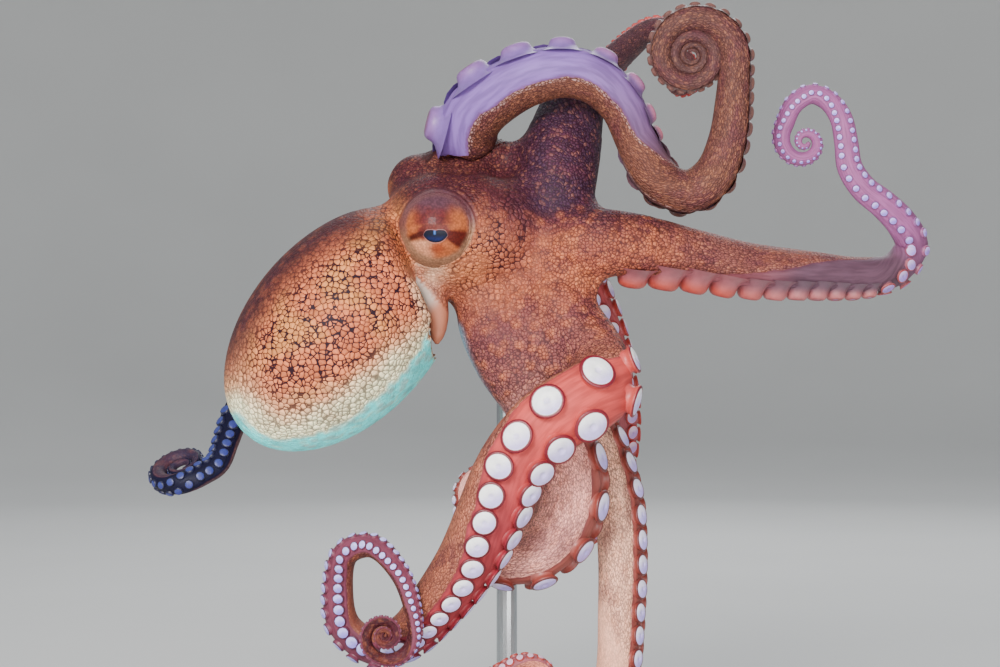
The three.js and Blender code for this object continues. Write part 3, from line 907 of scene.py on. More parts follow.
ARMS = (
    ArmSpec(
        "l1",
        way=((22, 12, 350), (30, 8, 374), (33, 16, 398), (39, 28, 420), (46, 52, 440), (46, 92, 440),
             (42, 132, 420), (42, 166, 412), (48, 184, 432), (62, 166, 460), (78, 124, 475),
             (94, 86, 481), (112, 62, 472)),
        coil=Coil((0, 1, 0.1), 19, 0.14, 2, 0.9, (0.3, 0.95)),
        girth=((0, 20), (52, 22.5), (77, 19.5), (110, 17), (195, 14), (296, 10), (417, 5.5)),
        oral=((0, 0.6, 0.6, 0), (50, 0.3, 0.95, 0), (110, 0.6, 0.4, 0), (150, 0.8, 0, -0.6),
              (230, 0.5, 0.8, -0.4), (300, 0.2, 0.95, 0.2), (380, 0, 0.9, 0.4), (417, 0, 0.9, 0.4)),
        join=66, bare=((0, 0.9), (110, 1.2), (200, 1.3), (420, 1.5)),
        tints=((0, Tint.CORAL), (120, Tint.SALMON)),
        cups=((90, 0.3, 1.1, 1), (110, 0.44, 1.1, 1), (417, 0.46, 1.1, 1)),
        back=(vivid(74, 52, 72, 1.25), vivid(104, 72, 74, 1.2)),
    ),
    ArmSpec(
        "r1",
        way=((24, 8, 345), (46, -8, 349), (72, -8, 348), (102, 0, 344), (136, 12, 338), (172, 28, 335),
             (206, 46, 333), (229, 59, 337), (239, 62, 351), (232, 54, 363), (220, 48, 374),
             (208, 45, 383), (200, 44, 395), (198, 44, 409), (195, 44, 423), (188, 44, 433),
             (178, 44, 437), (168, 44, 431), (162, 44, 418)),
        coil=Coil((0, -1, 0), 15, 0.2, 1.6, 0.65, (0.9, 0.4)),
        girth=((0, 22), (54, 18.5), (86, 14.8), (122, 13.2), (162, 12.3), (200, 11.3), (238, 10),
               (290, 7.7), (330, 6.4), (390, 5.4)),
        oral=((0, 0.6, 0.6, -0.5), (60, 0.2, 0.6, -0.78), (120, 0.1, 0.62, -0.76),
              (200, 0.1, 0.4, -0.95), (228, 0.4, -0.6, -0.7), (250, 0.3, -0.95, 0),
              (285, 0.0, -1.0, 0.05), (330, -0.05, -1.0, 0.05), (360, 0.1, -0.7, 0.6),
              (390, -0.8, -0.5, 0.2)),
        join=62,
        bare=((0, 1.1), (60, 1.35), (100, 1.55), (125, 1.9), (150, 2.25), (170, 2.6), (190, 2.9),
              (230, 3), (300, 2.6), (420, 2.6)),
        tints=((0, Tint.CORAL), (110, Tint.CORAL), (150, Tint.PLUM), (225, Tint.PLUM),
               (262, Tint.LILAC)),
        cups=((48, 0.4, 1.05, 1), (62, 0.52, 1.05, 1.1), (90, 0.6, 1.05, 1.25), (130, 0.56, 1.02, 1.3),
              (170, 0.5, 1.02, 1.2), (200, 0.42, 1.1, 1.1), (235, 0.34, 1.2, 1.1), (262, 0.28, 1.5, 1),
              (390, 0.28, 1.4, 1)),
        back=(vivid(136, 88, 82, 1.25), vivid(112, 80, 94, 1.1)), bulbs=205,
    ),
    ArmSpec(
        "r2",
        way=((24, 8, 336), (29, -8, 319), (41, -15, 300), (53, -26, 285), (54, -42, 272),
             (42, -51, 264), (23, -52, 252), (5, -48, 229), (-6, -42, 204), (-17, -33, 180),
             (-33, -21, 156), (-51, -6, 135), (-70, 4, 127), (-86, 6, 138), (-89, 1, 159),
             (-84, -9, 180), (-69, -18, 185), (-53, -32, 171), (-46, -40, 152), (-45, -41, 144)),
        coil=Coil((0, 1, 0), 16.5, 0.15, 2.8, 0.55, (0.85, 0.5)),
        girth=((0, 19), (24, 18.5), (114, 18.5), (169, 18), (197, 17.5), (225, 16.5), (256, 14.5),
               (287, 12), (310, 10), (352, 8), (398, 6), (424, 5), (450, 3.8)),
        oral=((0, 0.6, 0.75, -0.2), (45, 0.5, 0.8, -0.2), (75, 0.9, -0.2, -0.3), (105, 0.3, -0.95, 0.1),
              (150, 0.3, -0.93, 0), (190, 0.52, -0.82, 0), (222, 0.66, -0.62, -0.3),
              (262, 0.52, -0.5, -0.65), (290, 0.1, -0.7, -0.7), (318, -0.5, -0.7, -0.5),
              (345, -0.5, -0.85, 0.1), (385, -0.1, -0.7, 0.65), (425, 0.6, -0.8, 0),
              (450, 0.9, -0.4, 0)),
        join=70,
        bare=((0, 0.5), (78, 0.7), (96, 1.3), (130, 1.3), (160, 1.12), (200, 1.0), (262, 1.0),
              (300, 1.15), (420, 1.3), (450, 1.5)),
        tints=((0, Tint.SALMON), (130, Tint.SALMON), (190, Tint.ROSE), (255, Tint.ROSE),
               (300, Tint.VIOLET)),
        cups=((82, 0.4, 1.2, 1), (100, 0.5, 1.2, 1), (130, 0.47, 1.1, 1), (160, 0.41, 0.98, 1),
              (200, 0.38, 0.95, 1), (262, 0.36, 1.0, 1), (310, 0.37, 1.1, 1), (424, 0.36, 1.1, 1)),
        back=(vivid(172, 114, 98, 1.3), vivid(62, 26, 32, 1.3)),
    ),
    ArmSpec(
        "r3",
        way=((7, 14, 334), (-5, 3, 314), (2, -4, 289), (20, -7, 263), (32, -8, 242), (39.5, -8, 218),
             (35, -8, 196), (22, -6, 180), (6, 2, 175), (-7, 16, 178), (-16, 30, 188), (-20, 40, 204)),
        coil=Coil((0, 1, 0), 15, 0.1, 2.4, 0.9, (1, 0.1)),
        girth=((0, 20), (55, 18.5), (87, 18.5), (116, 19.5), (140, 19.5), (165, 18.5), (190, 16.5),
               (215, 12.5), (240, 8.5), (260, 6.5)),
        oral=((0, 0.8, 0.5, -0.3), (60, 0.85, 0.45, -0.2), (116, 1, 0.1, -0.1), (145, 1, 0, -0.15),
              (168, 0.75, 0, -0.65), (190, 0.2, -0.05, -1), (215, -0.5, 0, -0.85), (260, -1, 0, 0)),
        join=72, bare=((0, 0.9), (100, 0.95), (260, 1.0)), tints=((0, Tint.BRICK),),
        cups=((88, 0.36, 1.2, 1), (104, 0.42, 1.2, 1), (200, 0.42, 1.15, 1), (260, 0.4, 1.1, 1)),
        back=(vivid(236, 176, 168, 1.35, 1.05), vivid(250, 184, 176, 1.4, 1.1)),
    ),
    ArmSpec(
        "r4",
        way=((16, 26, 332), (14, 36, 314), (26, 40, 290), (43, 39, 262), (57, 34, 235), (66, 28, 207),
             (68, 20, 176), (67, 13, 145), (65, 8, 114), (58, 3, 87), (42, 0, 70), (22, -4, 64),
             (2, -9, 70), (-11, -13, 88), (-9, -14, 108), (6, -14, 119)),
        coil=Coil((0, 1, 0), 16, 0.13, 2.3, 0.9, (0.9, 0.3)),
        girth=((0, 19), (62, 17), (112, 14.8), (174, 13.6), (237, 12.2), (290, 9.8), (333, 7.6),
               (395, 5)),
        oral=((0, 0.8, 0.4, -0.4), (60, 0.85, 0.3, 0.1), (140, 0.97, -0.1, -0.1),
              (240, 0.97, -0.1, -0.1), (290, 0.4, -0.3, -0.8), (330, -0.4, -0.3, -0.9),
              (365, -0.9, -0.3, 0), (395, -0.3, -0.3, 0.9)),
        join=66, bare=((0, 0.9), (100, 0.95), (300, 1.0), (395, 1.3)),
        tints=((0, Tint.BRICK), (300, Tint.BRICK), (350, Tint.CORAL)),
        cups=((84, 0.36, 1.1, 1), (100, 0.44, 1.1, 1), (395, 0.44, 1.1, 1)),
        back=(vivid(255, 192, 176, 1.5, 1.12), vivid(214, 142, 128, 1.35)),
    ),
    ArmSpec(
        "l4",
        way=((12, 30, 338), (4, 52, 342), (-22, 84, 340), (-58, 108, 326), (-98, 110, 301),
             (-134, 92, 277), (-153, 72, 255), (-158, 57, 238), (-162, 46, 225), (-171, 41, 219)),
        coil=Coil((0.05, 0.36, -0.93), 19, 0.13, 2.1, 0.9, (1, 0.2)),
        girth=((0, 17.5), (110, 14), (205, 9.8), (262, 7.4), (296, 6.5)),
        oral=((0, 0.7, 0.3, -0.5), (60, 0.2, 0.4, -0.9), (180, 0.1, 0.1, -1), (225, 0.2, -0.9, -0.4),
              (260, -0.3, -0.8, 0.4)),
        join=66, bare=((0, 1), (100, 1.3), (296, 1.5)),
        # Painted shadow: past 180 mm the tints darken to near-black blue and the back to dark grey, as
        # this arm's tip lies in shade.
        tints=((0, Tint.LAVENDER), (180, Tint.LAVENDER), (230, Tint.SHADOWED)),
        cups=((66, 0.36, 1.1, 1), (86, 0.44, 1.1, 1), (296, 0.4, 1.1, 1)),
        back=(vivid(120, 80, 74, 1.2), vivid(48, 40, 60, 1.1)),
    ),
    ArmSpec(
        "l3",
        way=((16, 32, 344), (22, 54, 350), (34, 84, 346), (50, 108, 326), (64, 122, 298),
             (73, 134, 266), (76, 144, 234), (71, 150, 205), (60, 152, 180), (42, 152, 167)),
        coil=Coil((0, 1, 0), 20, 0.11, 2.4, 0.9, (1, 0)),
        girth=((0, 18), (60, 15.5), (140, 12.5), (224, 9), (278, 7)),
        oral=((0, 0.8, 0.1, -0.5), (60, 0.75, 0, -0.6), (130, 0.9, -0.3, -0.3), (200, 0.9, -0.3, -0.3),
              (250, 0.3, -0.3, -0.9)),
        join=66, bare=((0, 1), (100, 1.3), (278, 1.5)), tints=((0, Tint.SALMON), (200, Tint.CORAL)),
        cups=((66, 0.36, 1.1, 1), (86, 0.44, 1.1, 1), (278, 0.42, 1.1, 1)),
        back=(vivid(146, 98, 86, 1.2), vivid(122, 82, 80, 1.2)),
    ),
    ArmSpec(
        "l2",
        way=((14, 26, 348), (1, 30, 372), (-12, 28, 392), (-20, 20, 408), (-15, 10, 422), (-2, 1, 432),
             (16, -6, 440), (36, -9, 443), (53, -9, 438), (66, -7, 426), (74, -3, 408), (81, 0, 393),
             (93, 3, 381), (106, 4, 379), (118, 3, 388), (125, 1, 406), (128, -1, 430), (129, -2, 449)),
        coil=Coil((0, -1, 0.03), 24, 0.1, 3.4, 1.1, (0.78, -0.6)),
        girth=((0, 18.5), (88, 18.5), (146, 14.8), (180, 13.6), (202, 11.6), (228, 12), (258, 12),
               (300, 10.2), (325, 9)),
        oral=((0, -0.1, 0.9, 0), (40, -0.5, 0.8, 0.1), (68, -0.9, 0.35, 0.1), (106, -0.5, 0.45, 0.8),
              (146, 0, 0.5, 0.87), (180, 0.7, 0.5, 0.55), (202, 0.75, 0.6, 0.3), (222, 0.3, 0.95, 0.1),
              (243, 0, 0.9, -0.45), (275, 0.65, 0.75, 0), (325, 0.75, 0.65, 0)),
        join=62,
        bare=((0, 1.3), (50, 1.6), (70, 2.1), (106, 2.4), (146, 2.5), (180, 2.4), (202, 2.35),
              (222, 2.1), (240, 1.6), (262, 1.15), (330, 1.15)),
        tints=((0, Tint.LAVENDER), (150, Tint.LAVENDER), (220, Tint.PLUM), (240, Tint.UMBER)),
        cups=((58, 0.44, 1.15, 1), (72, 0.54, 1.3, 0.85), (140, 0.52, 1.25, 0.85),
              (196, 0.46, 1.15, 0.9), (240, 0.44, 1.0, 0.9), (325, 0.42, 0.95, 0.9)),
        back=(vivid(122, 80, 68, 1.15), vivid(88, 62, 60, 1.15)), bulbs=999, edged=True,
    ),
)


@dataclass
class Stations:
    """Places along an arm: row for row, where it is, how it faces and how thick it is."""

    s: Array
    at: Array
    along: Array
    oral: Array
    side: Array
    radius: Array

    def ring(self, i: int, right: Array, up: Array) -> Array:
        """Points round station i, from shares of its radius to the side and to the suckers."""
        out = right[:, None] * self.side[i] + up[:, None] * self.oral[i]
        return self.at[i] + out * self.radius[i]


class ArmLine:
    """An arm's middle line with the side that its suckers face."""

    COIL_STEP = 0.08
    COIL_BLEND = 1.4
    STEPS = 40
    SPACING = 2.0
    SOFT = 4

    def __init__(self, spec: ArmSpec) -> None:
        """Traces the line.

        Args:
            spec: The arm's sizes.
        """
        self.spec = spec
        s, at, radius = self.trace_way()
        along = unit(np.gradient(at, s, axis=0))
        coil_s, coil_at, coil_radius, coil_along, coil_face = self.trace_coil(
            s[-1], at[-1], along[-1], radius[-1])
        self.s = np.concatenate([s, coil_s])
        self.at = np.concatenate([at, coil_at])
        self.radius = np.concatenate([radius, coil_radius])
        self.along = unit(np.concatenate([along, coil_along]))
        oral = self.oral_hints(self.s)
        turned = ease(0, self.COIL_BLEND, np.arange(1, len(coil_s) + 1) * self.COIL_STEP)[:, None]
        oral[len(s):] = oral[len(s):] * (1 - turned) + coil_face * turned
        oral = oral - self.along * np.sum(oral * self.along, axis=1, keepdims=True)
        self.oral = unit(oral)
        self.length = float(self.s[-1])

    def trace_way(self) -> tuple[Array, Array, Array]:
        """The part before the coil, a smooth curve through the way's points.

        Returns:
            Lengths along it, places and radii.
        """
        p = np.array(self.spec.way, dtype=float)
        p = np.vstack([2 * p[0] - p[1], p, 2 * p[-1] - p[-2]])
        rows = []
        for i in range(1, len(p) - 2):
            d0, d1, d2 = (math.sqrt(float(np.linalg.norm(p[k + 1] - p[k])))
                          for k in (i - 1, i, i + 1))
            t1 = ((p[i] - p[i - 1]) / d0 - (p[i + 1] - p[i - 1]) / (d0 + d1)
                  + (p[i + 1] - p[i]) / d1) * d1
            t2 = ((p[i + 1] - p[i]) / d1 - (p[i + 2] - p[i]) / (d1 + d2)
                  + (p[i + 2] - p[i + 1]) / d2) * d1
            t = np.linspace(0, 1, self.STEPS, endpoint=False)[:, None]
            rows.append((2 * t**3 - 3 * t**2 + 1) * p[i] + (t**3 - 2 * t**2 + t) * t1
                        + (3 * t**2 - 2 * t**3) * p[i + 1] + (t**3 - t**2) * t2)
        line = np.vstack([*rows, p[-2][None]])
        run = np.concatenate([[0], np.cumsum(np.linalg.norm(np.diff(line, axis=0), axis=1))])
        s = np.linspace(0, run[-1], int(run[-1] / self.SPACING) + 1)
        at = read_table(s, run, line)
        girth = np.array(self.spec.girth, dtype=float)
        radius = np.interp(s, girth[:, 0], girth[:, 1])
        soft = np.ones(2 * self.SOFT + 1) / (2 * self.SOFT + 1)
        return s, at, np.convolve(np.pad(radius, self.SOFT, mode="edge"), soft, mode="valid")

    def trace_coil(self, start: float, at: Array, along: Array,
                   girth: float) -> tuple[Array, ...]:
        """The tip's logarithmic spiral.

        Args:
            start: The length along the arm where it begins.
            at: The place there.
            along: The direction there.
            girth: Half the arm's width there.

        Returns:
            Lengths, places, radii, directions and the sides that the suckers face.
        """
        coil = self.spec.coil
        k = coil.tighten
        axis = np.array(coil.axis, dtype=float)
        axis = unit(axis - along * axis.dot(along))
        outward = -unit(np.cross(axis, along) + along * k)
        forward = np.cross(axis, outward)
        centre = at - outward * coil.radius
        angle = np.arange(1, int(coil.turns * math.tau / self.COIL_STEP))[:, None] * self.COIL_STEP
        share = np.exp(-k * angle)
        radial = outward * np.cos(angle) + forward * np.sin(angle)
        length = coil.radius * math.sqrt(1 + k * k) / k * (1 - share[:, 0])
        return (start + length, centre + radial * coil.radius * share,
                girth * share[:, 0] ** coil.thin, np.cross(axis, radial) - radial * k,
                radial * coil.face[0] + axis * coil.face[1])

    def oral_hints(self, s: Array) -> Array:
        """The side the suckers face, before it is squared to the line.

        Args:
            s: Lengths along the arm.

        Returns:
            One direction for each.
        """
        hints = np.array(self.spec.oral, dtype=float)
        faces = unit(hints[:, 1:])
        i = np.clip(np.searchsorted(hints[:, 0], s, side="right") - 1, 0, len(hints) - 2)
        t = ease(0, 1, (s - hints[i, 0]) / (hints[i + 1, 0] - hints[i, 0]))[:, None]
        return faces[i] * (1 - t) + faces[i + 1] * t

    def stations(self, s: Array) -> Stations:
        """Reads the line.

        Args:
            s: Lengths along the arm.

        Returns:
            The stations there.
        """
        along = unit(read_table(s, self.s, self.along))
        oral = read_table(s, self.s, self.oral)
        oral = unit(oral - along * np.sum(oral * along, axis=1, keepdims=True))
        return Stations(s, read_table(s, self.s, self.at), along, oral, np.cross(along, oral),
                        np.interp(s, self.s, self.radius))

    def marks(self, start: float, end: float, step: float, least: float) -> Array:
        """Lengths from start to end, closer as the arm thins.

        Args:
            start: The first.
            end: The last.
            step: The spacing as a share of the arm's radius.
            least: The least spacing.

        Returns:
            The lengths.
        """
        out = [start]
        while out[-1] < end:
            out.append(out[-1] + max(least, step * float(np.interp(out[-1], self.s, self.radius))))
        out[-1] = end
        return np.array(out)


def arm_section(angle: Array) -> tuple[Array, Array]:
    """The arm's section: round on the back, flatter where the suckers stand, with a low keel
    along each of its edges.

    Args:
        angle: Round the arm, from 0 in the middle of the sucker side.

    Returns:
        The shares of the radius to the side and towards the suckers.
    """
    c, s = np.cos(angle), np.sin(angle)
    up = np.where(c > 0, 0.84 * np.abs(c) ** 0.9, -0.97 * np.abs(c))
    keel = 1.0 + 0.05 * np.exp(-((np.abs(angle) - 1.35) / 0.3) ** 2)
    return s * keel, up


class ArmTube:
    """The skin of an arm beyond the crown, as rings of a closed-tipped tube."""

    SIDES = 24
    LONG = 1.5
    SHORTEST = 0.75
    TIP = 0.4

    def __init__(self, line: ArmLine) -> None:
        """Keeps the arm's line."""
        self.line = line

    def add_to(self, bm: BMesh, index: int, start: float,
               layers: dict[str, object]) -> Edges:
        """Adds the tube to a mesh.

        Args:
            bm: The mesh.
            index: The arm's number.
            start: The length along the arm of the first ring.
            layers: The mesh's value layers.

        Returns:
            The edges of the open first ring.
        """
        def add_vert(point: Array, s: float, turn: float) -> bmesh.types.BMVert:
            """A vertex that knows its arm, the length along it and the turn round it.

            Args:
                point: Its place in millimetres.
                s: The length along the arm.
                turn: The turn round it.

            Returns:
                The vertex.
            """
            vert = bm.verts.new(point * MM)
            for key, value in (("arm", index), ("s", s), ("turn", turn)):
                vert[layers[key]] = value
            return vert

        s = self.line.marks(start, self.line.length - self.TIP, self.LONG * math.tau / self.SIDES,
                            self.SHORTEST)
        st = self.line.stations(s)
        angle = (np.arange(self.SIDES) / self.SIDES * math.tau + math.pi) % math.tau - math.pi
        right, up = arm_section(angle)
        rings = [[add_vert(point, s[i], turn) for point, turn in zip(st.ring(i, right, up), angle)]
                 for i in range(len(s))]
        pairs = [(k, (k + 1) % self.SIDES) for k in range(self.SIDES)]
        for a, b in zip(rings, rings[1:]):
            for k, m in pairs:
                bm.faces.new((a[k], a[m], b[m], b[k]))
        tip = add_vert(st.at[-1] + st.along[-1] * st.radius[-1] * 0.8, self.line.length, math.pi)
        for k, m in pairs:
            bm.faces.new((rings[-1][k], rings[-1][m], tip))
        return [bm.edges.get((rings[0][k], rings[0][m])) for k, m in pairs]


# ---------- the body


@dataclass(frozen=True)
class Egg:
    """A rounded body, long along its axis, in millimetres."""

    centre: Triple
    axis: Triple
    long: float
    wide: float
    deep: float

    def build(self, name: str) -> Piece:
        """Models it from a sphere, as an object of this name."""
        return set_in_place(unit_ball(name, 64, 40), (self.wide, self.deep, self.long), self.axis,
                            self.centre)


@dataclass(frozen=True)
class EyePlace:
    """Where an eye sits, in millimetres."""

    name: str
    bulge: Triple
    bulge_radius: float
    look: Triple
    ball: float
    out: float
    lid: float

    def look_axis(self) -> Array:
        """The way the eye looks."""
        return unit(self.look)

    def centre(self) -> Array:
        """The middle of the eyeball."""
        return np.array(self.bulge) + self.look_axis() * (self.bulge_radius + self.out - self.ball)

    def view(self, points: Array) -> tuple[Array, Array, Array]:
        """Measures from the middle of the ball.

        Args:
            points: The points.

        Returns:
            Their level, upright and forward distances.
        """
        look = self.look_axis()
        level = unit(np.cross((0.0, 0.0, 1.0), look))
        offset = points - self.centre()
        return offset @ level, offset @ unit(np.cross(look, level)), offset @ look


EYES = (
    EyePlace("eye_right", (-33, -12.5, 356.5), 24.5, (-0.03, -1, 0.02), 23, 1.7, 17.6),
    EyePlace("eye_left", (-44, 24.5, 381.5), 19.5, (-0.25, 0.8, 0.5), 18, 1.4, 13.6),
)

MANTLE = Egg((-85.5, -5, 303.5), (-0.66, -0.1, -0.74), 79, 54, 51)
HOLLOW = Egg((-38, 1, 309), (0.905, 0.05, 0.42), 27, 35, 22)
HEAD = Egg((-24, 6, 353), (0.86, 0.36, -0.36), 44, 36, 34)
BROW = Egg((-12, -2, 357), (1, 0.1, -0.15), 42, 29, 30)
CROWN = Egg((20, 17, 340), (0.86, 0.38, -0.36), 34, 38, 38)


@dataclass
class BodyBlank:
    """The mantle, head, funnel, crown and webs as one closed mesh, before it is finished."""

    WEB_REACH = {"l1": 46, "r1": 42, "r2": 72, "r3": 50, "r4": 44, "l4": 42, "l3": 42, "l2": 52}
    WEB_THICK = {"r2": (19.0, 14.0), "r1": (16.0, 8.0)}
    WEB_SKEW = {"r2": 1.18}
    WEB_RINGS = 14
    FUNNEL_WIDE, FUNNEL_END, FUNNEL_BOW = 9.0, 6.0, 4.5

    lines: dict[str, ArmLine]
    voxel: float = 1.5
    skin_voxel: float = 1.95
    fillet: float = 9.0
    edge_at: Triple = (-42.5, 0, 318)
    edge_normal: Triple = (0.905, 0.05, 0.42)
    funnel_root: Triple = (-44, -6, 334)
    funnel_tip: Triple = (-34, -17, 294)
    stub: float = 8.0

    def build_mantle(self) -> Piece:
        """The bag of the mantle, cut off and hollowed behind its free edge.

        Returns:
            The object.
        """
        mantle = MANTLE.build("mantle_blank")
        edit_all(mantle)
        bpy.ops.mesh.bisect(plane_co=Vector(self.edge_at) * MM, plane_no=self.edge_normal,
                            clear_outer=True, use_fill=True)
        bpy.ops.object.mode_set(mode="OBJECT")
        hollow = HOLLOW.build("hollow_cutter")
        apply_modifier(mantle, "BOOLEAN", object=hollow, operation="DIFFERENCE", solver="EXACT")
        bpy.data.objects.remove(hollow)
        return mantle

    def build_funnel(self) -> Piece:
        """The funnel, bent out of the mantle's opening and rounded at its end.

        Returns:
            The object.
        """
        root, tip = np.array(self.funnel_root), np.array(self.funnel_tip)
        along = unit(tip - root)
        out = unit(np.cross(along, np.array([0.0, 1.0, 0.0])))
        bow = np.cross(along, out)
        rings = []
        turn = np.arange(24) / 24 * math.tau
        for share in np.linspace(0, 1, 14):
            radius = self.FUNNEL_WIDE - (self.FUNNEL_WIDE - self.FUNNEL_END) * float(
                ease(0.3, 1, share))
            radius *= math.sqrt(max(0.02, 1 - max(0.0, (share - 0.72) / 0.29) ** 2))
            centre = root + (tip - root) * share + out * self.FUNNEL_BOW * math.sin(share * math.pi)
            rings.append(centre + radius * (np.cos(turn)[:, None] * out * 0.8
                                            + np.sin(turn)[:, None] * bow))
        return self.ring_tube("funnel_blank", rings)

    def ring_tube(self, name: str, rings: list[Array]) -> Piece:
        """A closed tube through rings of points.

        Args:
            name: The object's name.
            rings: The rings, each with as many points.

        Returns:
            The object, facing out.
        """
        sides = len(rings[0])
        faces: Faces = []
        for a in range(0, (len(rings) - 1) * sides, sides):
            for k in range(sides):
                m = (k + 1) % sides
                faces.append((a + k, a + m, a + sides + m, a + sides + k))
        faces.append(tuple(reversed(range(sides))))
        faces.append(tuple((len(rings) - 1) * sides + k for k in range(sides)))
        piece = mesh_piece(name, np.vstack(rings), faces)
        edit_all(piece)
        face_out()
        return piece

    def build_stub(self, line: ArmLine) -> Piece:
        """The first length of an arm, inside and just out of the crown.

        Args:
            line: The arm's line.

        Returns:
            The object.
        """
        st = line.stations(np.arange(2.0, line.spec.join + self.stub, 2.5))
        right, up = arm_section(np.arange(40) / 40 * math.tau - math.pi)
        rings = [st.ring(i, right, up) for i in range(len(st.s))]
        return self.ring_tube("stub_" + line.spec.name, rings)

    def build_web(self, first: ArmLine, second: ArmLine) -> Piece:
        """The sheet of skin between two neighbouring arms.

        Args:
            first: The line of the one arm.
            second: The line of the next.

        Returns:
            The object.
        """
        name = first.spec.name
        reach = self.WEB_REACH[name]
        root, rim = self.WEB_THICK.get(name, (15.0, 4.0))
        a = first.stations(np.linspace(6, reach, self.WEB_RINGS))
        b = second.stations(np.linspace(6, reach * self.WEB_SKEW.get(name, 1.0), self.WEB_RINGS))
        rings = []
        turn = np.arange(32) / 32 * math.tau
        for i in range(self.WEB_RINGS):
            across = b.at[i] - a.at[i]
            wide = np.linalg.norm(across) / 2
            across = unit(across)
            along = a.along[i] + b.along[i]
            along = unit(along - across * along.dot(across))
            thick = root + (rim - root) * i / (self.WEB_RINGS - 1)
            rings.append((a.at[i] + b.at[i]) / 2 + np.cos(turn)[:, None] * across * wide
                         + np.sin(turn)[:, None] * np.cross(across, along) * thick)
        return self.ring_tube("web_" + name, rings)

    def remesh(self, piece: Piece, size: float) -> None:
        """Makes one even, closed mesh of all that overlaps."""
        apply_modifier(piece, "REMESH", mode="VOXEL", voxel_size=size * MM,
                       use_smooth_shade=True)

    def swell(self, piece: Piece, reach: float) -> None:
        """Moves the surface out, or in where reach is below 0, and makes it even again."""
        apply_modifier(piece, "DISPLACE", strength=reach * MM, mid_level=0.0)
        self.remesh(piece, self.voxel)

    def build_front(self) -> Piece:
        """The head, the crown, the roots of the arms and the webs, with rounded valleys.

        Returns:
            The object.
        """
        parts = [HEAD.build("head_blank"), BROW.build("brow_blank"), CROWN.build("crown_blank")]
        for eye in EYES:
            bulge = Egg(eye.bulge, (0, 0, 1), *(eye.bulge_radius,) * 3)
            parts.append(bulge.build(eye.name + "_bulge"))
        lines = list(self.lines.values())
        for line, following in zip(lines, lines[1:] + lines[:1]):
            parts.append(self.build_stub(line))
            parts.append(self.build_web(line, following))
        front = join(parts, "front_blank")
        self.remesh(front, self.voxel)
        self.swell(front, self.fillet)
        self.swell(front, -self.fillet)
        return front

    def build(self) -> Piece:
        """Joins all the parts by remeshing and softens where they meet.

        Returns:
            The blank.
        """
        blank = join([self.build_mantle(), self.build_front(), self.build_funnel()],
                     "octopus_skin")
        self.remesh(blank, self.skin_voxel)
        return blank


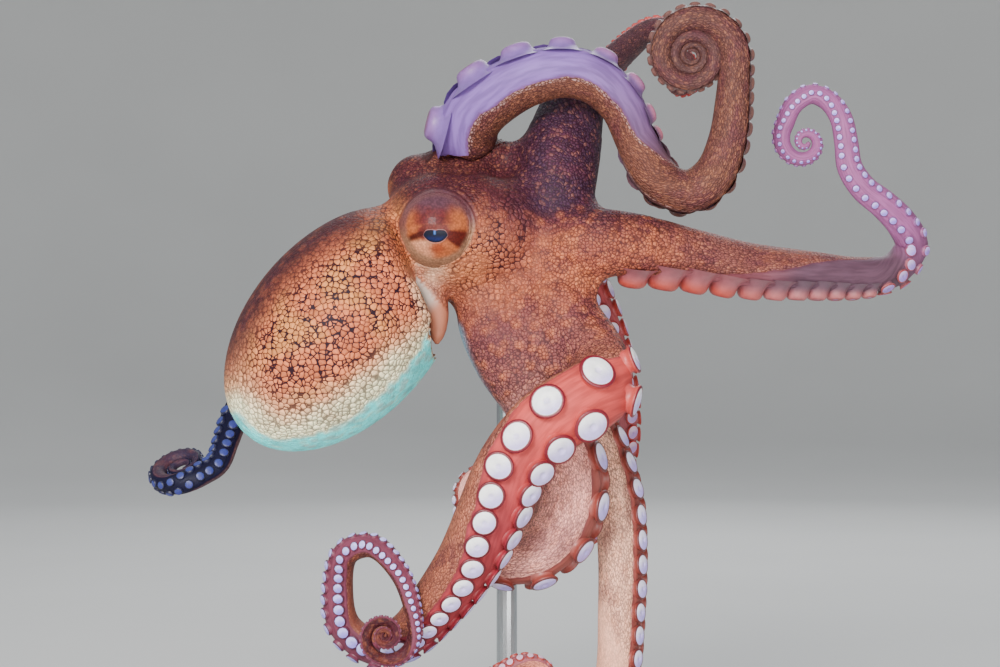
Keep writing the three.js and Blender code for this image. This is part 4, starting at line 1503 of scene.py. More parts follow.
@dataclass
class Skin:
    """The one skin of the whole animal."""

    NAPE_ROUNDS = 70
    FINISH_ROUNDS = 9
    JOIN_ROUNDS = 10
    PROBES = 60
    NONE = -99

    lines: dict[str, ArmLine]
    gap: float = 2.5
    piece: Piece | None = None
    points: Array | None = None
    arm: Array | None = None
    run: Array | None = None
    turn: Array | None = None
    apart: Array | None = None

    def build(self) -> Piece:
        """Builds the blank, grows the arms out of it and finishes the face.

        Returns:
            The skin's object.
        """
        self.piece = BodyBlank(lines=self.lines).build()
        self.soften(self.FINISH_ROUNDS, None)
        self.close_nape()
        self.grow_arms()
        self.refine_round_eyes()
        self.locate()
        self.shape_lids()
        only(self.piece)
        bpy.ops.object.shade_smooth()
        return self.piece

    def close_nape(self) -> None:
        """Smooths away the crease between the mantle and the head above the funnel."""
        points = vertices(self.piece)
        edge = (points - (-46, 0, 330)) @ unit(SkinPainter.LIP)
        weight = np.exp(-(edge / 15) ** 2) * ease(325, 337, points[:, 2])
        for eye in EYES:
            away = np.linalg.norm(points - eye.centre(), axis=1)
            weight *= ease(eye.ball + 0.5, eye.ball + 3, away)
        self.soften(self.NAPE_ROUNDS, weight, 0.0)

    def soften(self, rounds: int, keep: Array | None, back: float = 1.02) -> None:
        """Smooths the mesh without shrinking it much.

        Args:
            rounds: How many times each vertex moves half way to its neighbours' middle.
            keep: A weight for each vertex, or None for all alike.
            back: How much of that it swells again, 0 to let hollows fill.
        """
        points = vertices(self.piece)
        edges = np.empty(len(self.piece.data.edges) * 2, dtype=int)
        self.piece.data.edges.foreach_get("vertices", edges)
        edges = edges.reshape(-1, 2)
        count = np.maximum(np.bincount(edges.ravel(), minlength=len(points)), 1)[:, None]
        weight = np.ones((len(points), 1)) if keep is None else keep[:, None]
        for _ in range(rounds):
            for step in (0.5, -0.5 * back):
                total = np.zeros_like(points)
                np.add.at(total, edges[:, 0], points[edges[:, 1]])
                np.add.at(total, edges[:, 1], points[edges[:, 0]])
                points = points + (total / count - points) * step * weight
        move_vertices(self.piece, points)

    def grow_arms(self) -> None:
        """Cuts each stub square and bridges it to the arm's tube."""
        bm = bmesh.new()
        bm.from_mesh(self.piece.data)
        layers = {key: bm.verts.layers.float.new(key) for key in ("arm", "s", "turn")}
        for vert in bm.verts:
            vert[layers["arm"]] = -1.0
        feet = [(line, line.stations(np.array([line.spec.join]))) for line in self.lines.values()]
        for index, (line, st) in enumerate(feet):
            rim = self.cut_stub(bm, st)
            ring = ArmTube(line).add_to(bm, index, line.spec.join + self.gap, layers)
            bmesh.ops.bridge_loops(bm, edges=rim + ring)
        bmesh.ops.recalc_face_normals(bm, faces=bm.faces[:])
        bm.to_mesh(self.piece.data)
        bm.free()
        self.piece.data.update()
        points = vertices(self.piece)
        weight = np.zeros(len(points))
        for _, st in feet:
            offset = points - st.at[0]
            near = np.linalg.norm(offset, axis=1) < st.radius[0] * 1.5
            weight = np.maximum(weight, near * (1 - ease(4, 11, np.abs(offset @ st.along[0]))))
        self.soften(self.JOIN_ROUNDS, weight)

    def cut_stub(self, bm: BMesh, foot: Stations) -> Edges:
        """Cuts one stub off square.

        Args:
            bm: The mesh.
            foot: The one station where it is cut.

        Returns:
            The edges round the cut.
        """
        centre, along, radius = foot.at[0], foot.along[0], float(foot.radius[0])

        def within(face: bmesh.types.BMFace, low: float, high: float) -> bool:
            """Whether a face is on this arm, between two heights over the cut."""
            run, side = split_offset(np.array(face.calc_center_median()) / MM - centre, along)
            return low < run < high and side < radius * 1.35

        faces = [f for f in bm.faces if within(f, -6, 6)]
        geometry = list({v for f in faces for v in f.verts}
                        | {e for f in faces for e in f.edges}) + faces
        bmesh.ops.bisect_plane(bm, geom=geometry, plane_co=centre * MM, plane_no=along)
        beyond = [f for f in bm.faces if within(f, 0, 14)]
        bmesh.ops.delete(bm, geom=beyond, context="FACES")
        reach, middle = radius * 1.6 * MM, Vector(centre) * MM
        return [e for e in bm.edges if e.is_boundary and (e.verts[0].co - middle).length < reach]

    def layer(self, name: str) -> Array:
        """A value layer of the skin as an array."""
        return read_rows(self.piece.data.attributes[name].data, "value", 1)[:, 0]

    def refine_round_eyes(self) -> None:
        """Divides the skin round each eye so that it can hold lids and folds."""
        bm = bmesh.new()
        bm.from_mesh(self.piece.data)
        for eye in EYES:
            centre = Vector(eye.centre() + eye.look_axis() * 12) * MM
            for reach in (eye.lid + 12.0, eye.lid + 7.0):
                faces = [f for f in bm.faces
                         if (f.calc_center_median() - centre).length < reach * MM]
                edges = list({e for f in faces for e in f.edges})
                bmesh.ops.subdivide_edges(bm, edges=edges, cuts=1, smooth=0.6, use_grid_fill=True)
        bmesh.ops.triangulate(bm, faces=[f for f in bm.faces if len(f.verts) > 4])
        bm.to_mesh(self.piece.data)
        bm.free()

    def locate(self) -> None:
        """Finds for each vertex its arm, the length along it and the turn round it. A vertex
        near the root of an arm has -1 less the arm's number, and one near none has NONE."""
        self.points = vertices(self.piece)
        arm, self.run, self.turn = map(self.layer, ("arm", "s", "turn"))
        self.arm = np.rint(arm).astype(int)
        self.apart = np.ones(len(self.points))
        tree = kdtree.KDTree(self.PROBES * len(self.lines))
        rows = []
        for index, line in enumerate(self.lines.values()):
            st = line.stations(np.linspace(2, line.spec.join + 12, self.PROBES))
            for k in range(self.PROBES):
                tree.insert(Vector(st.at[k]), len(rows))
                rows.append((index, st.s[k], st.at[k], st.oral[k], st.side[k], st.radius[k]))
        tree.balance()
        for i in np.where(self.arm < 0)[0]:
            _, found, distance = tree.find(Vector(self.points[i]))
            index, s, at, oral, side, radius = rows[found]
            offset = self.points[i] - at
            self.run[i] = s
            self.turn[i] = math.atan2(float(offset @ side), float(offset @ oral))
            self.apart[i] = distance / radius
            self.arm[i] = -1 - index if distance < radius * 1.6 else self.NONE

    def shape_lids(self) -> None:
        """Raises the lids round the eyes, draws fine folds into them and clears the opening."""
        points = self.points
        for eye in EYES:
            x, y, height = eye.view(points)
            reach = np.hypot(x, y)
            away = np.linalg.norm(points - eye.centre(), axis=1)
            near = (height > 0) & (reach < eye.lid + 14) & (away < eye.ball + 9)
            top = ease(-0.2, 0.9, y / np.maximum(reach, 1e-6))
            rise = (0.3 + 0.7 * top) * np.exp(-((reach - eye.lid - 0.9) / 1.6) ** 2)
            folds = 0.3 * np.sin((reach - eye.lid) * 2.6 + 0.6 * np.sin(np.arctan2(y, x) * 3))
            folds *= ease(eye.lid + 0.6, eye.lid + 2, reach) * (1 - ease(
                eye.lid + 3 + 3 * top, eye.lid + 6 + 4 * top, reach))
            points = points + eye.look_axis() * ((rise + folds) * near)[:, None]
            surface = np.sqrt(np.maximum(eye.ball**2 - np.minimum(reach, eye.ball)**2, 0))
            sunk = np.minimum(height, surface - 1.0) - height
            inside = near & (reach < eye.lid - 0.3)
            points = np.where(inside[:, None], points + eye.look_axis() * sunk[:, None], points)
        self.points = points
        move_vertices(self.piece, points)

    def pattern_places(self) -> Array:
        """Where the skin's pattern is read: as if each arm ran straight on from the crown, and
        drawn together along it so that the cells come out long.

        Returns:
            One place for each vertex, in metres.
        """
        places = self.points * MM
        for index, line in enumerate(self.lines.values()):
            mine = np.where(self.arm == index)[0]
            st = line.stations(self.run[mine])
            foot = line.stations(np.array([line.spec.join]))
            run = np.maximum(self.run[mine] - line.spec.join, 0)
            offset = (self.points[mine] - st.at) * (1 + 0.7 * ease(0, 60, run))[:, None]
            drawn = 0.8 * run + 0.2 * 30 * (1 - np.exp(-run / 30))
            places[mine] = MM * (foot.at[0] + foot.along[0] * drawn[:, None]
                                 + foot.side[0] * np.sum(offset * st.side, axis=1, keepdims=True)
                                 + foot.oral[0] * np.sum(offset * st.oral, axis=1, keepdims=True))
        return places

    def paint(self) -> None:
        """Works out the broad colour and the masks of the skin's pattern, and stores them."""
        painter = SkinPainter(self)
        painter.paint()
        arms = self.arm >= 0
        layers = {name: getattr(painter, name) for name in painter.STORED}
        layers["warts"] = painter.fine * ease(380, 356, self.points[:, 2]) * (1 - 0.6 * arms)
        layers["way"] = np.stack([self.run / 16, np.abs(self.turn) * 5.5, self.arm * 3.0], axis=1)
        layers["place"] = self.pattern_places()
        for name, values in layers.items():
            store(self.piece, name, values)

    def dress(self, material: Material) -> None:
        """Gives the skin its finish and lets it stand for the nodes of flesh.

        Args:
            material: The skin's finish.
        """
        self.paint()
        self.piece.data.materials.clear()
        self.piece.data.materials.append(material)
        nodes = ["crown", "head", "funnel", "mantle"]
        nodes += [f"arm_{spec.name}_{part}" for spec in ARMS for part in ("base", "middle", "tip")]
        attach(self.piece, "root")
        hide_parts(*nodes)


@dataclass
class SkinPainter:
    """Broad colours of the skin, worked out for each vertex: its tone, the shares of large and
    of fine cells, the strength of the grooves between them (ink), how far round the arm it is
    past the edge of the bare skin (brink), the colour there (bare) and that edge's pale line."""

    STORED = ("brink", "bare", "brim", "tone", "cells", "fine", "ink")

    LIP = (0.905, 0.05, 0.42)
    FOLD = (-37, -30, 333)
    FUNNEL = ((-43, -8, 330), (-34, -17, 294))

    skin: Skin
    back: Colour = vivid(148, 90, 77, 1.3)
    dark: Colour = vivid(66, 33, 40, 1.3)
    dusk: Colour = vivid(54, 38, 60, 1.15)
    warm: Colour = vivid(188, 120, 94, 1.35)
    cheek: Colour = vivid(208, 140, 108, 1.3)
    cone: Colour = vivid(120, 78, 80, 1.3)
    fold: Colour = vivid(242, 206, 180, 1.25, 1.05)
    mantle: Colour = vivid(196, 126, 102, 1.4)
    mantle_tan: Colour = vivid(208, 156, 112, 1.35)
    mantle_rose: Colour = vivid(188, 114, 94, 1.35)
    mantle_end: Colour = vivid(184, 132, 108, 1.2)
    mantle_pale: Colour = vivid(232, 186, 154, 1.3, 1.1)
    mantle_top: Colour = vivid(54, 28, 38, 1.2)
    lip: Colour = vivid(238, 206, 180)
    cream: Colour = vivid(255, 220, 196, 1.5, 1.4)
    # Painted light: this turquoise is light from beneath falling on the pale underside.
    turquoise_underlight: Colour = vivid(170, 255, 246, 1.7, 1.5)
    blue: Colour = vivid(160, 196, 214)

    def __post_init__(self) -> None:
        """Starts from the plain skin of the back."""
        self.p = self.skin.points
        self.broad, self.small = ripple(self.p, 24, 3.1), ripple(self.p, 8, 8.7)
        self.flesh = self.skin.arm < 0
        count = len(self.p)
        self.tone = np.tile(np.array(self.back), (count, 1))
        self.cells, self.fine, self.ink = np.zeros(count), np.ones(count), np.full(count, 0.85)
        self.brink, self.brim, self.bare = np.full(count, 3.0), np.zeros(count), self.tone.copy()

    def paint(self) -> None:
        """Lays the parts' colours and masks over each other."""
        for paint in (self.paint_crown, self.paint_arms, self.paint_head, self.paint_mantle,
                      self.paint_fold, self.paint_funnel):
            paint()

    def tint(self, colour: Array, share: Array) -> None:
        """Blends the tone so far towards a colour."""
        self.tone = blend(self.tone, colour, share)

    def fade(self, share: Array) -> None:
        """Weakens the cells and their grooves by a share."""
        for name in ("cells", "fine", "ink"):
            setattr(self, name, getattr(self, name) * (1 - share))

    def near(self, middle: Triple, stretch: Triple = (1, 1, 1)) -> Array:
        """How far each vertex is from a place, with its offset stretched first."""
        return np.linalg.norm((self.p - middle) * stretch, axis=1)

    def paint_crown(self) -> None:
        """The brown crown: dark above, warm below the eye, rosy down the cone of the webs."""
        x, y, z = self.p.T
        self.tint(self.warm, ease(-0.1, 0.5, self.small * 0.6 - self.broad) * 0.45)
        high = ease(346, 374, z + self.broad * 6 + self.small * 3)
        self.tint(self.dark, high * 0.9)
        self.tint(self.dusk, high * ease(-4, 24, x) * 0.8)
        self.tint(self.cheek, np.exp(-(self.near((-24, -28, 332)) / 21) ** 2) * 0.9)
        self.tint(self.cone, ease(330, 292, z) * 0.8)
        net = ease(58, 14, self.near((-8, -30, 347), (1, 1, 0.8)))
        net = net * ease(-0.5, 0.25, self.small * 0.7 + self.broad * 0.5) * self.flesh
        edge = -25.0 + (306.0 - z) * 0.5 + self.broad * 1.5
        cold = ease(5.0, 1.5, x - edge) * ease(310, 302, z) * ease(-14, -2, y)
        self.tint(self.blue, cold * 0.9)
        self.cells = np.maximum(self.cells, net * 0.95)
        self.fine = self.fine * (1 - 0.75 * net) * (1 - cold * 0.6)
        self.ink = np.maximum(self.ink, 0.85 + 0.15 * net)

    def paint_arms(self) -> None:
        """The bare sucker side and the backs of the arms, darker towards the tips."""
        for index, (name, line) in enumerate(self.skin.lines.items()):
            spec = line.spec
            mine = (self.skin.arm == index) | (self.skin.arm == -1 - index)
            s = self.skin.run[mine]
            t = s / line.length
            keys = np.array(spec.bare)
            edge = np.interp(s, keys[:, 0], keys[:, 1]) + self.small[mine] * 0.08
            beyond = ease(spec.join - 16, spec.join + 10, s)
            beyond = beyond * ease(1.34, 1.12, self.skin.apart[mine])
            if spec.edged:
                beyond = ease(spec.join + 1, spec.join + 6, s) * ~self.flesh[mine]
            self.brim[mine] = 0.32 if spec.edged else 0.06
            self.brink[mine] = np.abs(self.skin.turn[mine]) - edge + 3.0 * (1 - beyond)
            self.bare[mine] = spec.tints_at(s, 0)
            own = blend(spec.back[0], spec.back[1], ease(0.3, 0.9, t))
            clouds = 0.1 if name in ("r3", "r4") else 0.45
            own = blend(own, own * [0.72, 0.68, 0.72, 1], ease(0.0, 0.6, self.broad[mine]) * clouds)
            share = ease(spec.join - 8, spec.join + 36, s)
            self.tone[mine] = blend(self.tone[mine], own, share)
            self.fine[mine] *= 1 - 0.3 * ease(0.6, 1.0, t)
            self.ink[mine] *= 1 - 0.2 * ease(0.1, 0.4, t)

    def paint_head(self) -> None:
        """The smooth lids round the eyes, grey above and sandy below, and their dark brows."""
        for eye in EYES:
            x, y, height = eye.view(self.p)
            reach = np.hypot(x, y)
            front = ease(2, 10, height) * self.flesh
            rise = y / np.maximum(reach, 1.0)
            upper = ease(-0.25, 0.35, rise)
            lid = (1 - ease(eye.lid + 1.2 + upper, eye.lid + 2.8 + 3.2 * upper, reach)) * front
            arcs = 0.5 + 0.5 * np.sin((reach - eye.lid) * 2.6 + self.small)
            # Painted shade: above the eye the lid is grey-purple as in shadow where it overhangs the
            # eye, banded by its fold rings; below it is sandy skin.
            grey = blend(vivid(104, 74, 80, 1.1), vivid(70, 42, 46, 1.1), arcs)
            sand = blend(vivid(166, 128, 104, 1.1), vivid(92, 68, 50, 1.1), arcs ** 2)
            self.tint(blend(sand, grey, upper), lid * 0.9)
            self.fine, self.ink = (layer * (1 - lid * 0.85) for layer in (self.fine, self.ink))
            brow = ease(eye.lid + 20, eye.lid + 2, reach) * ease(0.2, 0.8, rise)
            self.tint(self.dark, brow * front * 0.6)

    def paint_fold(self) -> None:
        """The pale fold between the eye and the funnel."""
        below = np.exp(-(self.near(self.FOLD, (1.0, 0.5, 0.75)) / 8) ** 2) * self.flesh
        self.tint(self.fold, below * 0.95)
        self.cells = self.cells * (1 - below * 0.6)
        self.ink = self.ink * (1 - below * 0.4)

    def mantle_share(self) -> Array:
        """How much each vertex belongs to the mantle.

        Returns:
            The shares.
        """
        z = self.p[:, 2]
        edge = (self.p - (-44, 0, 325)) @ unit(self.LIP)
        edge = edge - 11 * ease(330, 344, z)
        blur = 3 + 9 * ease(326, 340, z)
        share = (1 - ease(-blur, blur * 0.6, edge)) * self.flesh * (self.near(MANTLE.centre) < 92)
        for eye in EYES:
            x, y, height = eye.view(self.p)
            share = share * (1 - ease(eye.lid + 4.5, eye.lid + 1.5, np.hypot(x, y)) * (height > 0))
        return share

    def paint_mantle(self) -> None:
        """The netted bag of the mantle, dark above and pale below, where a turquoise light from beneath
        is painted on.
        """
        p, broad, small = self.p, self.broad, self.small
        x, z = p[:, 0], p[:, 2]
        bag = self.mantle_share()
        right, _, up = read_rows(self.skin.piece.data.vertex_normals, "vector", 3).T
        rim = np.hypot(right, up)
        down = -up + 0.12 * right * (right > 0)
        wander = broad * 0.03 + small * 0.035
        below = ease(342, 330, z)
        low = down + 0.16 * ease(-100, -145, x)
        pale = ease(0.16, 0.84, rim + wander * 2.5) * ease(0.0, 0.54, low) * below
        fray = ripple(p, 5, 4.4) * 0.04 + ripple(p, 14, 2.2) * 0.04
        # Painted light: turquoise light from beneath on the downward-facing underside, mixed a little
        # with the cream skin.
        green = ease(0.79, 0.86, rim + wander + fray) * ease(0.34, 0.46, down + wander) * below
        left = ease(-120, -142, x + broad * 8)
        top = ease(0.5, 0.9, rim + wander) * ease(0.1, 0.6, up - 0.25 * right)
        top = top * (1 - 0.55 * ease(50, 30, self.near((-34, -16, 357))))
        lip = ease(-7, -2, (p - (-42.5, 0, 318)) @ unit(self.LIP))
        underlit_pale = blend(self.turquoise_underlight, self.cream,
                      ease(0.3, 0.8, small + ripple(p, 3.5, 9.1)) * 0.25)
        colour = self.mantle
        for shade, share in ((self.mantle_tan, ease(-0.1, 0.5, broad + small * 0.3) * 0.6),
                             (self.mantle_rose, ease(0.1, 0.6, -broad) * 0.5),
                             (self.mantle_end, left * 0.6),
                             (self.mantle_pale, ease(0.0, 0.7, pale) * 0.8),
                             (self.mantle_top, top * 0.95),
                             (self.cream, ease(0.4, 1.0, pale) * 0.95),
                             (underlit_pale, green),
                             (self.lip, lip * ease(332, 320, z) * 0.75)):
            colour = blend(colour, shade, share)
        self.tint(colour, bag)
        self.fade(bag)
        self.cells = np.maximum(self.cells, bag * (1 - 0.7 * green) * (1 - 0.45 * top))
        self.fine = self.fine + bag * (0.12 + 0.3 * top + 0.5 * green)
        self.ink = self.ink + bag * (1.0 - 0.3 * pale - 0.2 * left) * (1 - 0.9 * green)

    def paint_funnel(self) -> None:
        """The smooth funnel, grey above and tan at its end."""
        x, _, z = self.p.T
        root, tip = map(np.array, self.FUNNEL)
        axis = unit(tip - root)
        run = (self.p - root) @ axis
        bow = np.array([4.5, 0.0, 1.0]) * np.sin(np.clip(run / 38, 0, 1) * math.pi)[:, None]
        off = np.linalg.norm(self.p - root - axis * run[:, None] - bow, axis=1)
        girth = 9 - 3 * ease(11, 38, run)
        mine = ease(girth + 2.2, girth + 0.8, off) * (run > 1) * (run < 42) * self.flesh
        mine = mine * ease(1.0, -0.6, z - 325.5 + 1.15 * (x + 40.5))
        colour = blend(vivid(206, 190, 180, 1.1), vivid(176, 118, 98, 1.15),
                       ease(10, 24, run + 0.9 * (x + 36)))
        self.tint(colour, mine)
        self.fade(mine)


# ---------- suckers


@dataclass
class SuckerMould:
    """One sucker, modelled once at radius 1 about the Z axis and copied down the arms."""

    sides: int
    profile: tuple[Triple, ...]

    def build(self) -> Mould:
        """Models it from a disc by extruding and scaling.

        Returns:
            Its points, its faces and the place from wall to pit of each point.
        """
        deselect()
        radius, height, _ = self.profile[0]
        bpy.ops.mesh.primitive_circle_add(vertices=self.sides, radius=radius, fill_type="NOTHING",
                                          location=(0, 0, height))
        piece = bpy.context.object
        bpy.ops.object.transform_apply(location=True)
        edit_all(piece)
        for wide, high, _ in self.profile[1:]:
            bpy.ops.mesh.extrude_region_move(
                TRANSFORM_OT_translate={"value": (0, 0, high - height)})
            factor = wide / radius
            bpy.ops.transform.resize(value=(factor, factor, 1), center_override=(0, 0, high))
            radius, height = wide, high
        bpy.ops.mesh.edge_face_add()
        bpy.ops.mesh.poke()
        face_out()
        points = np.array([v.co[:] for v in piece.data.vertices])
        faces = [tuple(f.vertices) for f in piece.data.polygons]
        reach = np.hypot(points[:, 0], points[:, 1])
        keys = np.array(self.profile)
        cost = np.hypot(keys[:, 0] - reach[:, None], keys[:, 1] - points[:, 2:])
        cup = np.where(reach > 1e-4, keys[np.argmin(cost, axis=1), 2], 1.0)
        bpy.data.objects.remove(piece)
        return points, faces, cup


LARGE = SuckerMould(22, (
    (1.4, -0.75, 0.0), (1.06, -0.42, 0.0), (0.9, -0.18, 0.04), (0.86, 0.02, 0.1),
    (0.94, 0.18, 0.18), (1.05, 0.3, 0.26), (1.08, 0.39, 0.33), (1.02, 0.46, 0.4),
    (0.93, 0.485, 0.45), (0.87, 0.475, 0.51), (0.83, 0.49, 0.58), (0.62, 0.55, 0.7),
    (0.34, 0.565, 0.8), (0.2, 0.545, 0.88), (0.13, 0.49, 0.94)))
SMALL = SuckerMould(10, (
    (1.2, -0.6, 0.0), (1.03, -0.15, 0.04), (1.08, 0.16, 0.22), (1.02, 0.38, 0.36),
    (0.88, 0.47, 0.5), (0.5, 0.54, 0.7)))
BULB = SuckerMould(18, (
    (1.9, -0.62, 0.0), (1.5, -0.4, 0.02), (1.2, -0.16, 0.06), (1.05, 0.1, 0.12),
    (1.0, 0.3, 0.18), (0.94, 0.48, 0.24), (0.81, 0.62, 0.3), (0.63, 0.7, 0.36),
    (0.46, 0.71, 0.44), (0.37, 0.64, 0.52), (0.28, 0.52, 0.66)))


@dataclass
class SuckerRows:
    """The two rows of suckers down one arm."""

    PARTS = {"wall": 1, "rim": 2, "pearl": 3, "flesh": 0}

    line: ArmLine
    lean: float = 0.58
    large_over: float = 3.6
    least: float = 0.6
    closest: float = 0.9
    end: float = 1.5

    def places(self) -> list[tuple[Array, Array, Array, float, float, float]]:
        """Where each sucker stands.

        Returns:
            For each its point, its direction, the arm's direction, its radius, how tall it is as
            a share and its length along the arm.
        """
        out = []
        cups = np.array(self.line.spec.cups)
        s = cups[0, 0]
        row = 1
        while s < self.line.length - self.end:
            st = self.line.stations(np.array([s]))
            share, pitch, tall = (float(np.interp(s, cups[:, 0], cups[:, k])) for k in (1, 2, 3))
            size = max(self.least, float(st.radius[0]) * share)
            angle = self.lean * row
            foot = st.ring(0, *arm_section(np.array([angle])))[0]
            turn = angle * 0.8
            face = st.oral[0] * math.cos(turn) + st.side[0] * math.sin(turn)
            out.append((foot, face, st.along[0], size, tall, s))
            s += max(size * pitch, self.closest)
            row = -row
        return out

    def build(self, moulds: dict[str, Mould]) -> Piece:
        """Copies the moulds along the arm.

        Args:
            moulds: The large, the small and the rounded sucker.

        Returns:
            The arm's suckers as one object.
        """
        points, faces, cups, shades, lengths = [], [], [], [], []
        total = 0
        rng = np.random.default_rng(7)
        for foot, face, along, size, tall, s in self.places():
            kind = "large" if size > self.large_over else "small"
            if s < self.line.spec.bulbs:
                kind = "bulb"
            shape, sides, cup = moulds[kind]
            y = unit(along - face * along.dot(face))
            x = np.cross(y, face)
            wobble = 1 + rng.uniform(-0.05, 0.05)
            body = (shape[:, :1] * x * (size * wobble) + shape[:, 1:2] * y * size / wobble
                    + shape[:, 2:] * face * size * tall)
            points.append(body + foot)
            faces += [tuple(k + total for k in corner) for corner in sides]
            cups.append(cup)
            # Painted shade: how far each point lies to the lower side of the cup, leaning towards +X,
            # where the cup is painted shaded.
            shades.append(-(body[:, 2] - 0.5 * body[:, 0]) / size)
            lengths.append(np.full(len(shape), s))
            total += len(shape)
        piece = mesh_piece("suckers_" + self.line.spec.name, np.vstack(points), faces)
        store(piece, "cup", np.concatenate(cups))
        store(piece, "shade", np.concatenate(shades))
        for name, part in self.PARTS.items():
            store(piece, name, self.line.spec.tints_at(np.concatenate(lengths), part))
        only(piece)
        bpy.ops.object.shade_smooth()
        return piece


# ---------- eyes and beak


@dataclass
class Eye:
    """An eyeball with its iris painted on."""

    PAINTED = 17.6

    place: EyePlace

    def build(self) -> Piece:
        """Models the eyeball, facing the way the eye looks.

        Returns:
            The eyeball.
        """
        ball = set_in_place(unit_ball(self.place.name + "_ball", 144, 96), (self.place.ball,) * 3,
                            self.place.look, self.place.centre())
        bpy.ops.object.shade_smooth()
        return ball

    def dress(self, ball: Piece, material: Material) -> None:
        """Paints the iris and gives the eye its finish.

        Args:
            ball: The eyeball.
            material: The wet finish.
        """
        scale = self.PAINTED / self.place.lid
        x, y = (length * scale for length in self.place.view(vertices(ball))[:2])
        store(ball, "across", x + 0.5)
        store(ball, "height", y + 5.2)
        store(ball, "iris", self.iris(x, y))
        ball.data.materials.clear()
        ball.data.materials.append(material)
        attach(ball, "root")
        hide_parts(self.place.name)

    def iris(self, x: Array, y: Array) -> Array:
        """The iris's broad colours.

        Args:
            x: Level places, in millimetres on an eye whose lids open to PAINTED.
            y: Upright places.

        Returns:
            One colour for each.
        """
        spots = np.stack([x, y, x * 0], axis=1)
        wave = ripple(spots, 3.2, 2.0)
        grain = ripple(spots, 1.1, 6.0)
        reach = np.hypot(x, y)
        colour = blend(vivid(156, 90, 62, 1.15), vivid(192, 138, 112, 1.2),
                       ease(-5, -9, y) * ease(1, -5, x))
        upper = ease(-1.8, 2.4, y + wave) * (1 - ease(5, 14, np.abs(x + 2.2) + wave * 1.5))
        beside = ease(10.0, 7.0, np.hypot(x + 1.4, (y + 2.6) * 1.5) + wave)
        colour = blend(colour, vivid(80, 30, 32, 1.25), np.maximum(upper, beside * 0.9))
        colour = blend(colour, vivid(122, 62, 48, 1.2), ease(0.1, 0.7, grain) * upper * 0.5)
        bar = np.exp(-(((x + 10.6) / 5.0) ** 4 + ((y + 4.9 - 0.3 * (x + 10.6)) / 1.9) ** 2))
        deep = 2.8 + 0.34 * (x - 6)
        wedge = np.exp(-(((x - 11) / 6.0) ** 6 + ((y + 4.9 + 0.3 * (x - 6)) / deep) ** 4))
        colour = blend(colour, vivid(56, 14, 14, 1.1), np.clip(bar * 1.3, 0, 0.92))
        colour = blend(colour, vivid(66, 14, 14, 1.2), np.clip(wedge * 1.3, 0, 0.95))
        under = np.exp(-((x / 4.3) ** 2 + ((y + 11.6) / 2.6) ** 2))
        colour = blend(colour, vivid(124, 58, 40, 1.2), np.clip(under, 0, 0.8))
        colour = blend(colour, vivid(82, 56, 66, 1.1), ease(4.5, 14, y + wave * 2) * 0.9)
        rim = ease(15.2, 17.8, reach + wave * 0.6)
        edge = blend(vivid(134, 104, 84, 1.1), vivid(100, 66, 68, 1.1), ease(-9, 4, y))
        return blend(colour, edge, rim * 0.85)


@dataclass
class Beak:
    """The beak inside the lip, in the middle of the arms."""

    at: Triple = (47.5, 29, 328.5)
    axis: Triple = (0.86, 0.38, -0.36)
    radius: float = 6.0

    def build(self) -> Piece:
        """Models the two hooked halves as one blunt beak.

        Returns:
            The beak.
        """
        beak = unit_ball("beak", 24, 14)
        for vert in beak.data.vertices:
            x, y, z = vert.co
            hook = max(0.0, z) ** 2
            groove = 0.22 * math.exp(-((y - 0.15) / 0.12) ** 2) * max(0.0, z)
            vert.co = (x * (1 - 0.45 * hook), y * (1 - 0.5 * hook) + 0.25 * hook,
                       z * 1.3 - groove)
        set_in_place(beak, (self.radius,) * 3, self.axis, self.at)
        bpy.ops.object.shade_smooth()
        return beak

    def dress(self, beak: Piece, material: Material) -> None:
        """Gives the beak its horn.

        Args:
            beak: The beak.
            material: The horn.
        """
        beak.data.materials.clear()
        beak.data.materials.append(material)
        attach(beak, "root")


# ---------- stand and studio


@dataclass
class Stand:
    """The base and rod, kept as they are in the frame and given better finishes."""

    nodes: dict[str, Piece]

    def dress(self) -> None:
        """Finishes the stand's nodes."""
        paint = StandFinish("stand_satin_paint", linear(38, 40, 44), 0.0, 0.42, (1, 1, 1))
        steel = StandFinish("stand_brushed_steel", linear(176, 180, 184), 1.0, 0.3, (1, 1, 0.05))
        for name, finish in (("stand_base", paint), ("stand_rod", steel)):
            node = self.nodes[name]
            material = finish.build()
            if node.material_slots:
                for slot in node.material_slots:
                    slot.link = "OBJECT"
                    slot.material = material
            else:
                node.data.materials.append(material)


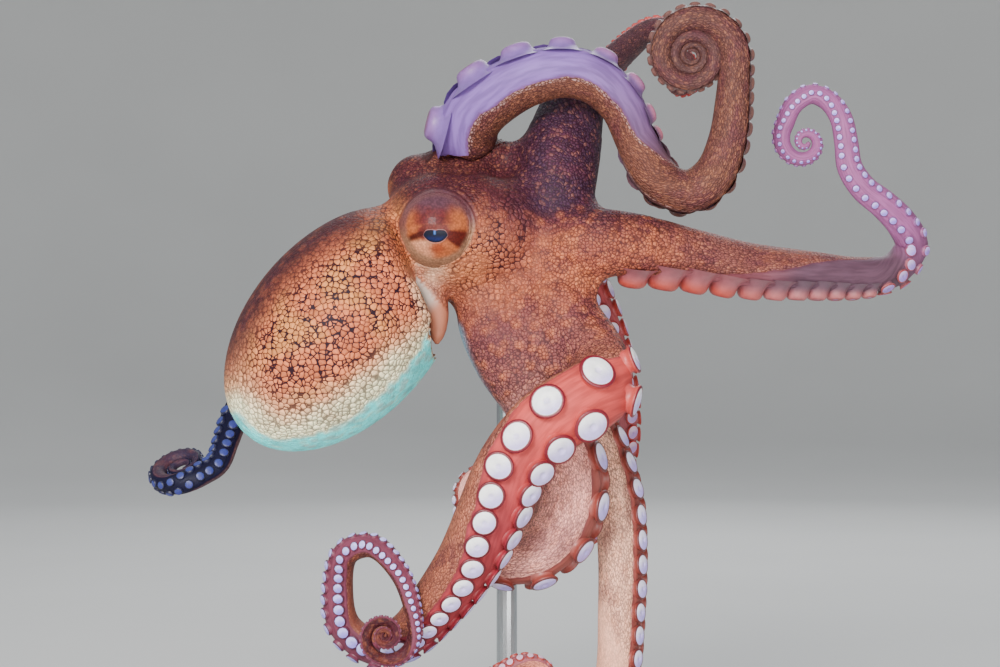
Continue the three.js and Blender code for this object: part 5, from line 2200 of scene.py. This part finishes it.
@dataclass
class Studio:
    """A pale seamless floor, soft lights and the camera."""

    RIM_STEPS = 8
    AIM = (-0.01, 0.0, 0.31)

    distance: float = 1.1
    height: float = 0.3
    lens: float = 72.0
    floor_radius: float = 2.6
    rim: float = 1.6
    pale: Colour = linear(214, 214, 212)

    def build_floor(self) -> None:
        """A round floor whose rim curves up all about, so that no horizon shows."""
        deselect()
        bpy.ops.mesh.primitive_circle_add(vertices=72, radius=self.floor_radius,
                                          fill_type="NGON")
        floor = bpy.context.object
        floor.name = "studio_floor"
        edit_all(floor)
        bpy.ops.mesh.select_mode(type="EDGE")
        bpy.ops.mesh.region_to_loop()
        reach, height = self.floor_radius, 0.0
        for step in range(1, self.RIM_STEPS + 1):
            turn = step / self.RIM_STEPS * math.pi / 2
            wide = self.floor_radius + self.rim * math.sin(turn)
            high = self.rim * (1 - math.cos(turn))
            bpy.ops.mesh.extrude_edges_move(
                TRANSFORM_OT_translate={"value": (0, 0, high - height)})
            bpy.ops.transform.resize(value=(wide / reach, wide / reach, 1),
                                     center_override=(0, 0, high))
            reach, height = wide, high
        bpy.ops.mesh.select_mode(type="VERT")
        bpy.ops.object.mode_set(mode="OBJECT")
        bpy.ops.object.shade_smooth()
        material, n, surface = new_material("studio_paper")
        tone = n.step(n.noise(n.place(), 3.0), 0.2, 0.8, 0.98, 1.02)
        n.fill(surface, {"Base Color": n.scaled(self.pale, tone), "Roughness": 0.9,
                         "Specular IOR Level": 0.2})
        floor.data.materials.append(material)

    def add_light(self, name: str, at: Triple, size: float,
                  power: float, tint: Triple) -> None:
        """An area light aimed at the animal.

        Args:
            name: Its name.
            at: Its place in metres.
            size: Its side in metres.
            power: Its power in watts.
            tint: Its colour.
        """
        data = bpy.data.lights.new(name, "AREA")
        data.energy = power
        data.size = size
        data.color = tint
        light = bpy.data.objects.new(name, data)
        light.location = at
        aim = Vector(self.AIM) - Vector(at)
        light.rotation_mode = "QUATERNION"
        light.rotation_quaternion = aim.to_track_quat("-Z", "Y")
        bpy.context.scene.collection.objects.link(light)

    def build(self) -> None:
        """Sets up the floor, the lights, the surroundings and the camera."""
        self.build_floor()
        self.add_light("key", (-0.45, -1.35, 0.85), 0.5, 36.0, (1.0, 0.98, 0.95))
        self.add_light("fill", (0.3, -1.4, 0.14), 0.9, 24.5, (1.0, 0.97, 0.95))
        self.add_light("back", (0.4, 1.8, 1.7), 1.6, 30.0, (0.95, 0.97, 1.0))
        world = bpy.data.worlds.new("studio")
        bpy.context.scene.world = world
        world.use_nodes = True
        n = Nodes(world.node_tree)
        n.fill(n.tree.nodes["Background"], {"Color": (0.86, 0.9, 0.95, 1), "Strength": 0.5})
        data = bpy.data.cameras.new("camera")
        data.lens = self.lens
        data.sensor_width = 36.0
        data.clip_start = 0.02
        camera = bpy.data.objects.new("camera", data)
        camera.location = (0.0, -self.distance, self.height)
        camera.rotation_euler = (math.pi / 2, 0, 0)
        bpy.context.scene.collection.objects.link(camera)
        bpy.context.scene.camera = camera


# ---------- assembly


def main() -> None:
    """Builds the model piece by piece."""
    logging.basicConfig(level=logging.INFO, format="%(name)s: %(message)s")
    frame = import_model()
    deselect()
    Studio().build()
    effects = SkinEffects()
    Stand(frame["nodes"]).dress()
    LOG.info("stand dressed")
    lines = {spec.name: ArmLine(spec) for spec in ARMS}
    skin = Skin(lines)
    skin.build()
    skin.dress(SkinFinish().build(effects))
    LOG.info("skin: %d vertices, %d faces", len(skin.piece.data.vertices),
             len(skin.piece.data.polygons))
    moulds = {"large": LARGE.build(), "small": SMALL.build(), "bulb": BULB.build()}
    cup_finish = SuckerFinish().build(effects)
    for line in lines.values():
        rows = SuckerRows(line).build(moulds)
        rows.data.materials.append(cup_finish)
        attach(rows, "root")
        LOG.info("%s: %d faces", rows.name, len(rows.data.polygons))
    eye_finish = EyeFinish().build(effects)
    for place in EYES:
        eye = Eye(place)
        eye.dress(eye.build(), eye_finish)
        LOG.info("%s made", place.name)
    beak = Beak()
    beak.dress(beak.build(), BeakFinish().build(effects))
    LOG.info("beak made")


if __name__ == "__main__":
    main()
